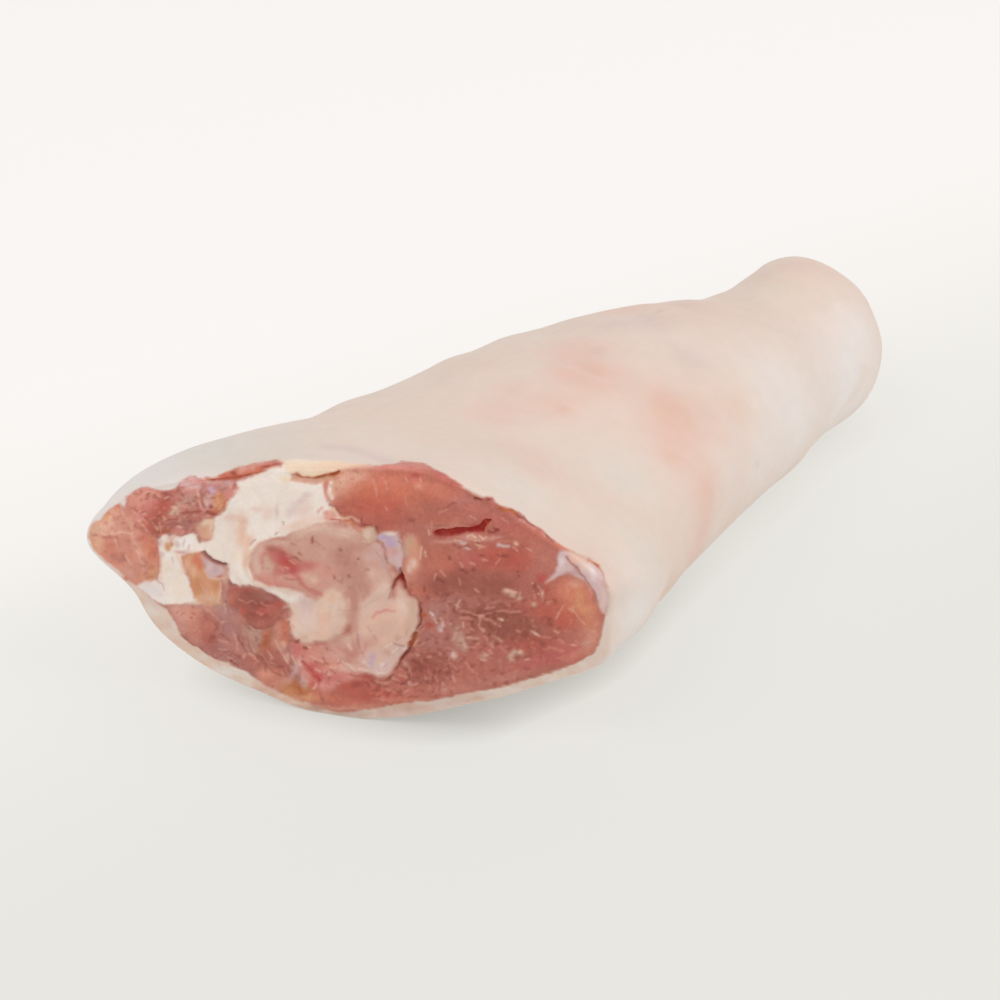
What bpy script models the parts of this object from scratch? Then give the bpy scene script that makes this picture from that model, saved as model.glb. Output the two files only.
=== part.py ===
"""Salted pork hock: a raw shank with its rind on, cut across at the knee and at the ankle.

The leg lies along +X from the knee cut to the ankle cut, +Z is up, and it rests on a flat
stretch of its underside at z = 0. The named sizes are in millimetres, and are turned into
metres when the meshes are made. There are two pieces: the hock (rind, fat and meat) and the
bone, which runs through it from one cut to the other.
"""
import bpy
import numpy as np
from math import cos, radians, sin, tau

METRES_PER_MM = 0.001

# Driving sizes of the leg, in mm.
KNEE_HALF_WIDTH = 64.0
KNEE_HEIGHT = 67.0
KNEE_YAW = 23.4
OUTLINE_FADE = 45.0
KNEE_EDGE_ROUND = 2.0
ANKLE_ROLL = 8.0
BOX_CENTRE_SHIFT = (-97.1, -5.5)

# Each row is one cross-section: along X, across Y, yaw in degrees, width to the left and to
# the right of the middle, underside and top.
LEG_SECTIONS = (
    (0.0, 0.0, KNEE_YAW, KNEE_HALF_WIDTH, KNEE_HALF_WIDTH, 0.0, KNEE_HEIGHT),
    (25.0, 3.5, 20.0, 71.0, 62.0, -2.0, 61.5),
    (55.0, 4.0, 15.0, 61.5, 52.5, -2.0, 55.5),
    (90.0, 5.0, 10.0, 51.5, 45.5, -2.0, 56.0),
    (125.0, 5.5, 6.0, 42.5, 39.5, -1.5, 54.5),
    (155.0, 6.0, 3.0, 34.5, 33.5, -1.0, 49.0),
    (180.0, 6.5, 0.0, 28.0, 28.0, -1.0, 43.5),
    (203.0, 8.0, -3.0, 25.5, 26.0, -1.0, 42.0),
    (220.0, 13.0, -5.0, 24.5, 23.0, 2.0, 40.0),
)

# Outline of the knee cut, from its right tip round over the top: across and up, in mm.
KNEE_OUTLINE = (
    (64, 37), (64, 43), (57, 49), (44, 57), (33, 64), (20, 68), (3, 67), (-13, 65),
    (-32, 59), (-48, 54), (-58, 48), (-63, 39), (-56, 30), (-46, 14.5), (-33, 5.5),
    (-17, 0.5), (1, -1), (22, 3), (44, 12.5), (61, 23),
)
OUTLINE_MIDDLE = (0.0, 37.0)
OUTLINE_ASPECT = 1.83

# How far the rim of the knee cut bulges past its plane, by angle round from the right.
KNEE_RIM_BULGE = (
    (0, 0.0), (60, 0.3), (90, 0.0), (135, 0.0), (160, 1.0), (180, 4.0), (200, 3.5),
    (225, 2.0), (250, 3.0), (270, 3.5), (295, 2.0), (325, 0.8), (360, 0.0),
)
RIM_BULGE_FADE = 16.0

# Low swellings of the rind: along X, angle round from the right side, reach along and round
# the leg, and rise, in mm and degrees.
RIND_SWELLINGS = (
    ("fold over the knee", 20, 115, 12, 30, 0.3),
    ("knee hollow", 45, 85, 14, 24, -0.8),
    ("calf crest", 78, 100, 13, 26, 1.0),
    ("calf side", 95, 20, 22, 16, 1.4),
    ("hollow above the calf", 120, 40, 16, 18, -0.9),
    ("shin crest", 132, 105, 12, 24, 0.8),
    ("back of the calf", 70, 195, 30, 20, 1.2),
    ("neck above the heel", 172, 80, 12, 20, -1.0),
    ("heel knob", 204, 100, 12, 16, 1.4),
    ("heel side", 200, 345, 16, 12, 0.8),
)

# Part of a cut's radius over which its forms die out towards the rim.
CUT_RIM_BAND = 0.1

# Forms that stand out of the knee cut, or lie deeper: middle across and up, reach across and
# up, turn in degrees, and rise, in mm.
KNEE_FORMS = (
    ("tip muscle", -54, 37, 8, 9, 20, 1.5),
    ("upper left muscle", -40, 49, 13, 6, 20, 2.2),
    ("white gristle", -15, 52, 14, 9, 20, 1.2),
    ("gristle beside the bone", -25, 35, 6, 5, 0, -1.0),
    ("left fat", -43, 30, 6, 8, 0, -1.2),
    ("upper muscle", 18, 57, 18, 8, 0, 2.6),
    ("right muscle", 38, 34, 22, 18, 0, 3.0),
    ("lower muscle", 22, 12, 20, 7, 10, 1.6),
    ("small dark muscle", -20, 24, 7, 5, -20, 1.8),
    ("lower left muscle", -30, 15, 13, 7, -40, 1.5),
    ("left fat lump", -5, 25, 7, 7, 0, 2.6),
    ("right fat lump", 11, 27, 8, 8, 0, 3.0),
    ("lower fat lump", 6, 16, 8, 5, 0, 2.0),
    ("right tip fat", 57, 45, 5, 5, -45, -1.0),
)

# Open seams in the knee cut: points across and up, width and depth, in mm.
KNEE_SEAMS = (
    ("upper slit", ((21, 51.5), (29, 52.5), (36, 57)), 2.6, 3.5),
    ("seam right of the fat", ((14, 39), (19, 30), (17, 21), (12, 12)), 2.6, 2.4),
    ("seam under the tip", ((-53, 46), (-48, 41), (-45, 35), (-46, 27)), 2.6, 2.0),
    ("seam of the dark muscle", ((-31, 28), (-20, 30), (-12, 26), (-13, 15)), 2.6, 1.6),
    ("gap beside the gristle", ((-35, 37), (-30, 34.5)), 2.6, 2.0),
)

# Forms of the ankle cut, given like those of the knee cut.
ANKLE_FORMS = (
    ("sunk meat", 0, 24, 13, 10, 0, -2.0),
    ("tendon above", -2, 33, 4, 3, 0, 1.6),
    ("tendon at the left", -13, 22, 3, 4, 0, 1.4),
    ("tendon at the right", 12, 24, 3, 3, 0, 1.2),
)

# Outline of the bone in the knee cut, across and up, in mm, from its right round over the top.
BONE_OUTLINE = (
    (13, 38.5), (11, 44), (7, 48), (0, 50), (-8, 48), (-14, 45), (-20, 42), (-22.5, 36.5),
    (-19, 32), (-12, 30.5), (-4, 31), (2, 30), (8, 33),
)
BONE_MIDDLE = (-4.0, 39.5)
BONE_GAP = 0.3
KNEE_BONE_PROUD = 3.0
ANKLE_BONE_PROUD = 0.8
BONE_FADE = 28.0
CHANNEL_REACH = 12.0
# Each row is one cross-section of the bone: along X, across Y, height, yaw, and half its
# width and height.
BONE_SECTIONS = (
    (0.0, 3.7, 39.5, KNEE_YAW, 18.0, 10.0),
    (28.0, 4.0, 34.0, 19.0, 12.0, 10.5),
    (60.0, 4.5, 30.0, 14.0, 9.5, 9.5),
    (110.0, 5.0, 27.0, 8.0, 8.5, 8.5),
    (160.0, 6.0, 24.0, 3.0, 9.0, 9.0),
    (195.0, 7.5, 22.0, -2.0, 11.0, 10.0),
    (220.0, 13.0, 22.0, -5.0, 11.5, 10.5),
)

# Mesh density.
HOCK_SIDE_CELLS = 27
HOCK_RINGS = (0.0, 0.7, 2.0, 5.0, 10.0, 16.0, 24.0, 33.0, 43.0, 54.0, 65.0, 77.0, 89.0,
              101.0, 113.0, 125.0, 137.0, 149.0, 160.0, 170.0, 180.0, 190.0, 199.0, 207.0,
              213.0, 217.0, 219.2, 220.0)
BONE_SIDE_CELLS = 8
BONE_RINGS = (0.0, 9.0, 18.0, 28.0, 44.0, 60.0, 85.0, 110.0, 135.0, 160.0, 178.0, 195.0,
              208.0, 220.0)

HOCK_COLOUR = (0.80, 0.58, 0.48, 1.0)
BONE_COLOUR = (0.58, 0.30, 0.24, 1.0)


def smooth_curve(knots, values, at):
    """Read a smooth curve through the knots; values may have several columns."""
    knots = np.asarray(knots, float)
    values = np.asarray(values, float)
    slopes = np.gradient(values, knots, axis=0)
    at = np.clip(np.asarray(at, float), knots[0], knots[-1])
    low = np.clip(np.searchsorted(knots, at, side="right") - 1, 0, len(knots) - 2)
    span = knots[low + 1] - knots[low]
    f = (at - knots[low]) / span
    shape = f.shape + (1,) * (values.ndim - 1)
    f = f.reshape(shape)
    span = span.reshape(shape)
    start = (2 * f**3 - 3 * f**2 + 1) * values[low] + (f**3 - 2 * f**2 + f) * span * slopes[low]
    end = (3 * f**2 - 2 * f**3) * values[low + 1] + (f**3 - f**2) * span * slopes[low + 1]
    return start + end


def closed_outline(points, middle, aspect, angles):
    """Read a closed outline at angles round its middle, from the right over the top."""
    points = np.asarray(points, float)
    offset = points - middle
    turn = np.unwrap(np.arctan2(offset[:, 1] * aspect, offset[:, 0]))
    knots = np.concatenate([turn - tau, turn, turn + tau])
    return smooth_curve(knots, np.concatenate([points] * 3), np.mod(angles - turn[0], tau) + turn[0])


def ease(value):
    """A smooth step from 0 to 1."""
    value = np.clip(value, 0.0, 1.0)
    return value * value * (3 - 2 * value)


def form_rise(forms, across, up):
    """Sum of the swellings at points of a cut."""
    rise = np.zeros_like(across)
    for _name, mid_across, mid_up, reach_across, reach_up, turn, height in forms:
        c, s = cos(radians(turn)), sin(radians(turn))
        du, dv = across - mid_across, up - mid_up
        far = ((du * c + dv * s) / reach_across) ** 2 + ((dv * c - du * s) / reach_up) ** 2
        rise += height * np.exp(-far**1.5)
    return rise


def seam_depth(seams, across, up):
    """Depth of the open seams at points of a cut."""
    depth = np.zeros_like(across)
    for _name, points, width, deep in seams:
        nearest = np.full(across.shape, 1e9)
        for (u0, v0), (u1, v1) in zip(points, points[1:]):
            run = (u1 - u0) ** 2 + (v1 - v0) ** 2
            f = np.clip(((across - u0) * (u1 - u0) + (up - v0) * (v1 - v0)) / run, 0, 1)
            gap = np.hypot(across - u0 - f * (u1 - u0), up - v0 - f * (v1 - v0))
            nearest = np.minimum(nearest, gap)
        depth = np.maximum(depth, deep * np.exp(-((nearest / width) ** 2)))
    return depth


def leg_point(along, angles):
    """Points of the rind's ring at one distance along the leg."""
    table = np.array(LEG_SECTIONS)
    x, y, yaw, left, right, bottom, top = smooth_curve(table[:, 0], table, along)
    c, s = np.cos(angles), np.sin(angles)
    half = np.where(c >= 0, right, left)
    middle = (top + bottom) / 2
    round_across, round_up = half * c, middle + (top - middle) * s
    cut = closed_outline(KNEE_OUTLINE, OUTLINE_MIDDLE, OUTLINE_ASPECT, angles)
    cut_across = cut[:, 0] * half / KNEE_HALF_WIDTH
    cut_up = cut[:, 1] * top / KNEE_HEIGHT
    blend = ease(along / OUTLINE_FADE)
    across = cut_across + (round_across - cut_across) * blend
    up = cut_up + (round_up - cut_up) * blend
    length = LEG_SECTIONS[-1][0]
    knee_gap = np.clip(1 - along / KNEE_EDGE_ROUND, 0, 1)
    ankle_gap = np.clip(1 - (length - along) / ANKLE_ROLL, 0, 1)
    inset = KNEE_EDGE_ROUND * (1 - np.sqrt(1 - knee_gap**2)) * 0.6
    inset += ANKLE_ROLL * (1 - np.sqrt(1 - ankle_gap**2)) * 0.7
    inset -= swelling(along, np.degrees(angles), half)
    radius = np.hypot(across, up - middle)
    across = across * (1 - inset / radius)
    up = middle + (up - middle) * (1 - inset / radius)
    yaw = radians(yaw)
    out = rim_bulge(angles) * (1 - ease(along / RIM_BULGE_FADE))
    return np.stack([
        x + across * sin(yaw) - out * cos(yaw),
        y - across * cos(yaw) - out * sin(yaw),
        np.maximum(up, 0.0),
    ], -1)


def rim_bulge(angles):
    """How far the knee cut's rim stands out at angles round it."""
    table = np.array(KNEE_RIM_BULGE)
    return smooth_curve(table[:, 0], table[:, 1], np.mod(np.degrees(angles), 360))


def swelling(along, degrees_round, half):
    """Rise of the rind's low swellings round one ring."""
    rise = np.zeros_like(degrees_round)
    for _name, at, angle, reach_along, reach_round, height in RIND_SWELLINGS:
        turn = (degrees_round - angle + 180) % 360 - 180
        far = ((along - at) / reach_along) ** 2 + (np.radians(turn) * half / reach_round) ** 2
        rise += height * np.exp(-far)
    return rise


def disc_grid(side_cells):
    """Radius and angle of a square grid pressed into a disc, with even angles on its rim."""
    step = np.linspace(-45.0, 45.0, side_cells + 1)
    line = np.sqrt(2) * np.sin(np.radians(step))
    x, y = np.meshgrid(line, line, indexing="ij")
    disc_x = x * np.sqrt(np.maximum(1 - y * y / 2, 0))
    disc_y = y * np.sqrt(np.maximum(1 - x * x / 2, 0))
    return np.hypot(disc_x, disc_y), np.arctan2(disc_y, disc_x)


def rim_cells(side_cells):
    """Grid places round the square's rim, from its lower right corner up and round."""
    n = side_cells
    right = [(n, j) for j in range(n)]
    top = [(i, n) for i in range(n, 0, -1)]
    left = [(0, j) for j in range(n, 0, -1)]
    bottom = [(i, 0) for i in range(n)]
    return right + top + left + bottom


def tube_mesh(name, rings, start_cap, end_cap, side_cells):
    """Join rings of points into a closed tube whose two caps are square grids."""
    count = 4 * side_cells
    points = [tuple(p) for ring in rings for p in ring]
    faces = []
    for row in range(len(rings) - 1):
        for k in range(count):
            a, b = row * count + k, row * count + (k + 1) % count
            faces.append((a, a + count, b + count, b))
    for cap, first, outward in ((start_cap, 0, False), (end_cap, (len(rings) - 1) * count, True)):
        index = {cell: first + k for k, cell in enumerate(rim_cells(side_cells))}
        for i in range(side_cells + 1):
            for j in range(side_cells + 1):
                if (i, j) not in index:
                    index[(i, j)] = len(points)
                    points.append(tuple(cap[i, j]))
        for i in range(side_cells):
            for j in range(side_cells):
                face = (index[i, j], index[i + 1, j], index[i + 1, j + 1], index[i, j + 1])
                faces.append(face[::-1] if outward else face)
    mesh = bpy.data.meshes.new(name)
    shift = np.array([*BOX_CENTRE_SHIFT, 0.0])
    mesh.from_pydata([tuple((np.array(p) + shift) * METRES_PER_MM) for p in points], [], faces)
    mesh.validate()
    return mesh


def rim_angles(side_cells):
    """Angles of the rim points, from the lower right corner up and round."""
    return radians(-45.0) + np.arange(4 * side_cells) * tau / (4 * side_cells)


def cap_points(rim, rim_round, radius, angle, side_cells):
    """Spread a rim of points inwards over a disc grid."""
    middle = rim.mean(axis=0)
    steps = np.mod(angle - rim_round[0], tau) / tau * 4 * side_cells
    low = np.floor(steps).astype(int) % (4 * side_cells)
    high = (low + 1) % (4 * side_cells)
    part = (steps - np.floor(steps))[..., None]
    edge = rim[low] * (1 - part) + rim[high] * part
    return middle + (edge - middle) * radius[..., None]


def cut_frame(section):
    """Middle of a cut, its across direction and its outward direction from the leg's yaw."""
    x, y, yaw = section[0], section[1], radians(section[2])
    across = np.array([sin(yaw), -cos(yaw), 0.0])
    lengthwise = np.array([cos(yaw), sin(yaw), 0.0])
    return np.array([x, y, 0.0]), across, lengthwise


def hock_mesh():
    """The rind as a loft from the knee outline to the round ankle, closed by both cuts."""
    angles = rim_angles(HOCK_SIDE_CELLS)
    rings = [leg_point(along, angles) for along in HOCK_RINGS]
    radius, angle = disc_grid(HOCK_SIDE_CELLS)
    fade = ease((1 - radius) / CUT_RIM_BAND)
    caps = []
    for rim, section, forms, seams, sign in (
        (rings[0], LEG_SECTIONS[0], KNEE_FORMS, KNEE_SEAMS, -1),
        (rings[-1], LEG_SECTIONS[-1], ANKLE_FORMS, (), 1),
    ):
        cap = cap_points(rim, angles, radius, angle, HOCK_SIDE_CELLS)
        middle, across, lengthwise = cut_frame(section)
        u, v = (cap - middle) @ across, cap[..., 2]
        rise = form_rise(forms, u, v) - seam_depth(seams, u, v)
        caps.append(cap + (sign * rise * fade)[..., None] * lengthwise)
    return tube_mesh("hock", rings, caps[0], caps[1], HOCK_SIDE_CELLS)


def bone_mesh(name, grow, knee_reach, ankle_reach):
    """The bone as a loft from its knee outline to a round shaft, reaching past both cuts."""
    angles = rim_angles(BONE_SIDE_CELLS)
    table = np.array(BONE_SECTIONS)
    start = closed_outline(BONE_OUTLINE, BONE_MIDDLE, 1.8, angles) - BONE_MIDDLE
    length = BONE_RINGS[-1]
    rings = []
    for along in (-knee_reach, *BONE_RINGS, length + ankle_reach):
        inside = min(max(along, 0.0), length)
        x, y, height, yaw, half_width, half_height = smooth_curve(table[:, 0], table, inside)
        round_part = np.stack([half_width * np.cos(angles), half_height * np.sin(angles)], -1)
        flat = start + (round_part - start) * ease(inside / BONE_FADE)
        flat *= 1 + grow / np.hypot(flat[:, 0], flat[:, 1])[:, None]
        yaw = radians(yaw)
        out = along - inside
        rings.append(np.stack([
            x + flat[:, 0] * sin(yaw) + out * cos(yaw),
            y - flat[:, 0] * cos(yaw) + out * sin(yaw),
            height + flat[:, 1],
        ], -1))
    radius, angle = disc_grid(BONE_SIDE_CELLS)
    caps = [cap_points(rim, angles, radius, angle, BONE_SIDE_CELLS) for rim in (rings[0], rings[-1])]
    return tube_mesh(name, rings, caps[0], caps[1], BONE_SIDE_CELLS)


def simple_material(name, colour, roughness):
    """A plain surface of one colour."""
    material = bpy.data.materials.new(name)
    material.use_nodes = True
    shader = material.node_tree.nodes["Principled BSDF"]
    shader.inputs["Base Color"].default_value = colour
    shader.inputs["Roughness"].default_value = roughness
    shader.inputs["Metallic"].default_value = 0.0
    return material


def add_object(mesh, collection):
    """Put a mesh into a collection as an object of the same name."""
    mesh.shade_smooth()
    mesh.set_sharp_from_angle(angle=radians(50.0))
    obj = bpy.data.objects.new(mesh.name, mesh)
    collection.objects.link(obj)
    return obj


def new_collection(name):
    """A collection in the scene."""
    collection = bpy.data.collections.new(name)
    bpy.context.scene.collection.children.link(collection)
    return collection


def main():
    """Model the hock round its bone."""
    for old in list(bpy.data.objects):
        bpy.data.objects.remove(old)
    parts = new_collection("pork hock")
    cutters = new_collection("cutters")

    hock = add_object(hock_mesh(), parts)
    hock.data.materials.append(simple_material("rind and meat", HOCK_COLOUR, 0.5))
    bone = add_object(bone_mesh("bone", 0.0, KNEE_BONE_PROUD, ANKLE_BONE_PROUD), parts)
    bone.data.materials.append(simple_material("sawn bone", BONE_COLOUR, 0.55))

    channel = add_object(bone_mesh("bone channel", BONE_GAP, CHANNEL_REACH, CHANNEL_REACH), cutters)
    channel.hide_render = True
    channel.display_type = "WIRE"
    cut = hock.modifiers.new("room for the bone", "BOOLEAN")
    cut.operation = "DIFFERENCE"
    cut.solver = "EXACT"
    cut.object = channel


main()
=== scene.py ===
"""Looks of the salted pork hock: rind, cut meat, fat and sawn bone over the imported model.

Sizes are in millimetres in the leg's own frame, as in the part's source, and become metres in
the row frame when a mesh is made. What shows on the knee cut is traced in the photograph's
frame of 1000 x 1000 pixels, and is carried to the cut's surface by the camera's numbers.
"""
from collections import namedtuple
from math import cos, radians, sin, tau

import bpy
import numpy as np
from mathutils import Matrix, Vector


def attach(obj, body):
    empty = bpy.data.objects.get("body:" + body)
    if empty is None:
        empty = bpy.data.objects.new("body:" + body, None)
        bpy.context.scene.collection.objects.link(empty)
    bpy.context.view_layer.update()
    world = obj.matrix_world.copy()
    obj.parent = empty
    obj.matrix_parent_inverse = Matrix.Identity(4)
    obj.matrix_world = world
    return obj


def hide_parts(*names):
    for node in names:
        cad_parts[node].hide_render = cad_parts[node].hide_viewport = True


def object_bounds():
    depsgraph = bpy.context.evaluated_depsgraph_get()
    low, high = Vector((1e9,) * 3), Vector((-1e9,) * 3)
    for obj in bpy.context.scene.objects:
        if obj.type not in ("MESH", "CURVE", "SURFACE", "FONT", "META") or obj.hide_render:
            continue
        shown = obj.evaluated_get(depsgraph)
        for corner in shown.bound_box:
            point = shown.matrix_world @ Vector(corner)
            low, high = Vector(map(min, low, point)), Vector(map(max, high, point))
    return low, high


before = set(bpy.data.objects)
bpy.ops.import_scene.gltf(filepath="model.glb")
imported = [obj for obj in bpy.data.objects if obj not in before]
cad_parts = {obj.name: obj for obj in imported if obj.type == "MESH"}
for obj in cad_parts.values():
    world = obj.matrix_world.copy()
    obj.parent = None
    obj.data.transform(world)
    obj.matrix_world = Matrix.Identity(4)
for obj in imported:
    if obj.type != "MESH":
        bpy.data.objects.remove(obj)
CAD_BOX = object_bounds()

METRES_PER_MM = 0.001
# Millimetres from the leg's frame to the middle of the model's box.
BOX_CENTRE_SHIFT = (-97.1, -5.5)

# ---------------------------------------------------------------- sizes, as in the part's source
KNEE_HALF_WIDTH = 64.0
KNEE_HEIGHT = 67.0
KNEE_YAW = 23.4
OUTLINE_FADE = 45.0
KNEE_EDGE_ROUND = 2.0
ANKLE_ROLL = 8.0
KNEE_EDGE_SHARE = 0.6
ANKLE_ROLL_SHARE = 0.7
# Sections: along, sideways, yaw in degrees, half width left and right, bottom and top.
LEG_SECTIONS = (
    (0.0, 0.0, KNEE_YAW, KNEE_HALF_WIDTH, KNEE_HALF_WIDTH, 0.0, KNEE_HEIGHT),
    (25.0, 3.5, 20.0, 71.0, 62.0, -2.0, 61.5),
    (55.0, 4.0, 15.0, 61.5, 52.5, -2.0, 55.5),
    (90.0, 5.0, 10.0, 51.5, 45.5, -2.0, 56.0),
    (125.0, 5.5, 6.0, 42.5, 39.5, -1.5, 54.5),
    (155.0, 6.0, 3.0, 34.5, 33.5, -1.0, 49.0),
    (180.0, 6.5, 0.0, 28.0, 28.0, -1.0, 43.5),
    (203.0, 8.0, -3.0, 25.5, 26.0, -1.0, 42.0),
    (220.0, 13.0, -5.0, 24.5, 23.0, 2.0, 40.0),
)
KNEE_OUTLINE = (
    (64, 37), (64, 43), (57, 49), (44, 57), (33, 64), (20, 68), (3, 67), (-13, 65),
    (-32, 59), (-48, 54), (-58, 48), (-63, 39), (-56, 30), (-46, 14.5), (-33, 5.5),
    (-17, 0.5), (1, -1), (22, 3), (44, 12.5), (61, 23),
)
OUTLINE_MIDDLE = (0.0, 37.0)
OUTLINE_ASPECT = 1.83
# How far the knee rim stands out, at degrees round it from the right.
KNEE_RIM_BULGE = (
    (0, 0.0), (60, 0.3), (90, 0.0), (135, 0.0), (160, 1.0), (180, 4.0), (200, 3.5),
    (225, 2.0), (250, 3.0), (270, 3.5), (295, 2.0), (325, 0.8), (360, 0.0),
)
RIM_BULGE_FADE = 16.0
# Low swellings: place along, degrees round, reach along and round, and height.
RIND_SWELLINGS = (
    ("fold over the knee", 20, 115, 12, 30, 0.3),
    ("knee hollow", 45, 85, 14, 24, -0.8),
    ("calf crest", 78, 100, 13, 26, 1.0),
    ("calf side", 95, 20, 22, 16, 1.4),
    ("hollow above the calf", 120, 40, 16, 18, -0.9),
    ("shin crest", 132, 105, 12, 24, 0.8),
    ("back of the calf", 70, 195, 30, 20, 1.2),
    ("neck above the heel", 172, 80, 12, 20, -1.0),
    ("heel knob", 204, 100, 12, 16, 1.4),
    ("heel side", 200, 345, 16, 12, 0.8),
)
CUT_RIM_BAND = 0.1
# Forms of the cuts: middle across and up, reach across and up, turn in degrees, and height.
KNEE_FORMS = (
    ("tip muscle", -54, 37, 8, 9, 20, 1.5),
    ("upper left muscle", -40, 49, 13, 6, 20, 2.2),
    ("white gristle", -15, 52, 14, 9, 20, 1.2),
    ("gristle beside the bone", -25, 35, 6, 5, 0, -1.0),
    ("left fat", -43, 30, 6, 8, 0, -1.2),
    ("upper muscle", 18, 57, 18, 8, 0, 2.6),
    ("right muscle", 38, 34, 22, 18, 0, 3.0),
    ("lower muscle", 22, 12, 20, 7, 10, 1.6),
    ("small dark muscle", -20, 24, 7, 5, -20, 1.8),
    ("lower left muscle", -30, 15, 13, 7, -40, 1.5),
    ("left fat lump", -5, 25, 7, 7, 0, 2.6),
    ("right fat lump", 11, 27, 8, 8, 0, 3.0),
    ("lower fat lump", 6, 16, 8, 5, 0, 2.0),
    ("right tip fat", 57, 45, 5, 5, -45, -1.0),
)
ANKLE_FORMS = (
    ("sunk meat", 0, 24, 13, 10, 0, -2.0),
    ("tendon above", -2, 31.5, 4, 3, 0, 0.9),
    ("tendon at the left", -13, 22, 3, 4, 0, 1.4),
    ("tendon at the right", 12, 24, 3, 3, 0, 1.2),
)

# How far the knee rim is trimmed inward, at degrees round it from the right, and how far along
# the leg the trim fades out.
RIM_TRIM = (
    (0, 0.0), (176, 0.0), (187, -0.5), (203, 1.4), (213, 0.8), (225, -0.2), (236, 0.4),
    (250, 1.2), (262, 0.3), (275, 0.0), (286, 0.6), (300, 1.2), (312, 0.7), (325, 0.8),
    (340, -1.2), (352, -1.0), (360, 0.0),
)
RIM_TRIM_FADE = 18.0

# ---------------------------------------------------------------- camera, in the leg's frame
FRAME_PIXELS = 1000.0
CAMERA_PLACE = np.array([-428.67, -393.45, 368.02])
CAMERA_AIM = np.array([0.68222, 0.56051, -0.46947])
FOCAL_PIXELS = 2880.0
AXIS_PIXEL = (480.0, 490.0)
SENSOR_MM = 36.0
NEAREST_SEEN = 0.01

# ---------------------------------------------------------------- bone, as in the part's source
BONE_OUTLINE = (
    (13, 38.5), (11, 44), (7, 48), (0, 50), (-8, 48), (-14, 45), (-20, 42), (-22.5, 36.5),
    (-19, 32), (-12, 30.5), (-4, 31), (2, 30), (8, 33),
)
BONE_MIDDLE = (-4.0, 39.5)
BONE_ASPECT = 1.8
BONE_FADE = 28.0
ANKLE_BONE_PROUD = 0.8
# Sections: along, sideways, height, yaw in degrees, half width and half height.
BONE_SECTIONS = (
    (0.0, 3.7, 39.5, KNEE_YAW, 18.0, 10.0),
    (28.0, 4.0, 34.0, 19.0, 12.0, 10.5),
    (60.0, 4.5, 30.0, 14.0, 9.5, 9.5),
    (110.0, 5.0, 27.0, 8.0, 8.5, 8.5),
    (160.0, 6.0, 24.0, 3.0, 9.0, 9.0),
    (195.0, 7.5, 22.0, -2.0, 11.0, 10.0),
    (220.0, 13.0, 22.0, -5.0, 11.5, 10.5),
)
BONE_RINGS = (0.0, 9.0, 18.0, 28.0, 60.0, 110.0, 160.0, 195.0, 208.0, 220.0)

# ---------------------------------------------------------------- how the pieces meet, in mm
# The tissue rises to the bone's sawn face over a shoulder, and sinks under it inside its edge.
BONE_LEVEL = 2.4
BONE_SHOULDER = 6.0
BONE_SINK = 1.6
BONE_SINK_RUN = 2.0
BONE_OVERLAP = 0.9
BONE_STEP = 0.06
BONE_SHARP_DEGREES = 45.0
# The cut's meat laps over the rim and then sinks under the rind.
LAP_REACH = 7.0
LAP_BLEND = 1.5
LAP_DEPTH = 0.05
# The rind turns in round the ankle cut as a lip, and the cut goes on under the rind: rings as
# the distance before the leg's end and the distance inward.
RIND_LIP = ((0.2, 1.1), (1.6, 1.8), (7.0, 4.0))
ANKLE_SKIRT = ((1.0, 0.8), (5.0, 3.0))
# The ankle cut's own rim lies this far before the end, and this far inward.
ANKLE_SINK = 0.5
ANKLE_TUCK = 0.2
# The ankle cut's relief fades near the bone: from and over these shares of the bone's radius.
ANKLE_BONE_CLEAR = 0.9
ANKLE_BONE_FADE = 0.3
ANKLE_BONE_SLOPE = 6
# Shares of a cut's radius over which fine relief fades to its rim.
BONE_END_RIM_BAND = 0.05
FINE_RIM_BAND = 0.02

# ---------------------------------------------------------------- unevenness
# Rows of noise: height, size in mm, seed and octaves.
RIPPLES = ((0.45, 24.0, 3, 2), (0.12, 8.0, 9, 1))
MOTTLE_NOISE = ((0.6, 2.4, 91, 3), (0.4, 7.0, 95, 2))
ANKLE_MOTTLE_NOISE = ((1.0, 2.4, 91, 3),)
LUMP_NOISE = ((1.0, 5.0, 21, 3),)
GRAIN_NOISE = ((1.0, 1.3, 31, 2),)
ANKLE_LUMP_NOISE = ((0.3, 4.0, 61, 3),)
ANKLE_RIM_NOISE = ((0.03, 3.0, 77, 3),)
BONE_END_WOBBLE = ((0.09, 4.0, 81, 3),)
BONE_END_GRAIN = ((0.12, 1.4, 87, 2),)
# Shifts that make drawn edges uneven: reach, size in mm, seeds and octaves.
CUT_WARPS = ((2.2, 3.0, (1, 4), 3), (0.7, 0.9, (11, 14), 1))
PATCH_WARP = (1.0, 14.0, (51, 54, 57), 3)
PATCH_SHIFT_MOST = 5.0
PATCH_SHIFT_SHARE = 0.5
ANKLE_WARP = (1.2, 5.0, (71, 74), 3)
# How strong the mottling of the colour, the lumps and the grain are in each tissue.
MOTTLE = {"muscle": 0.13, "fat": 0.04, "bone": 0.07}
ANKLE_MOTTLE = {"muscle": 0.13, "fat": 0.04}
LUMP_RISE = {"fat": 0.30, "muscle": 0.25}
GRAIN_RISE = {"muscle": 0.10, "fat": 0.05}
# Mottling changes red less than green and blue.
MOTTLE_TINT = np.array([0.65, 1.15, 1.2])
# The lamps give back the cut's tones a little darker than they are, so they are lifted.
CUT_LIFT = np.array([1.075, 1.07, 1.06])
# The rind's pale cut edge shows below this height, and the meat's edge is this soft in pixels.
EDGE_BAND_TOP = 27.0
MEAT_EDGE_SOFT = 1.6
# Meat that laps over the rim fades where the rim turns away from the camera.
AWAY_FADE = 0.14
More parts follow.
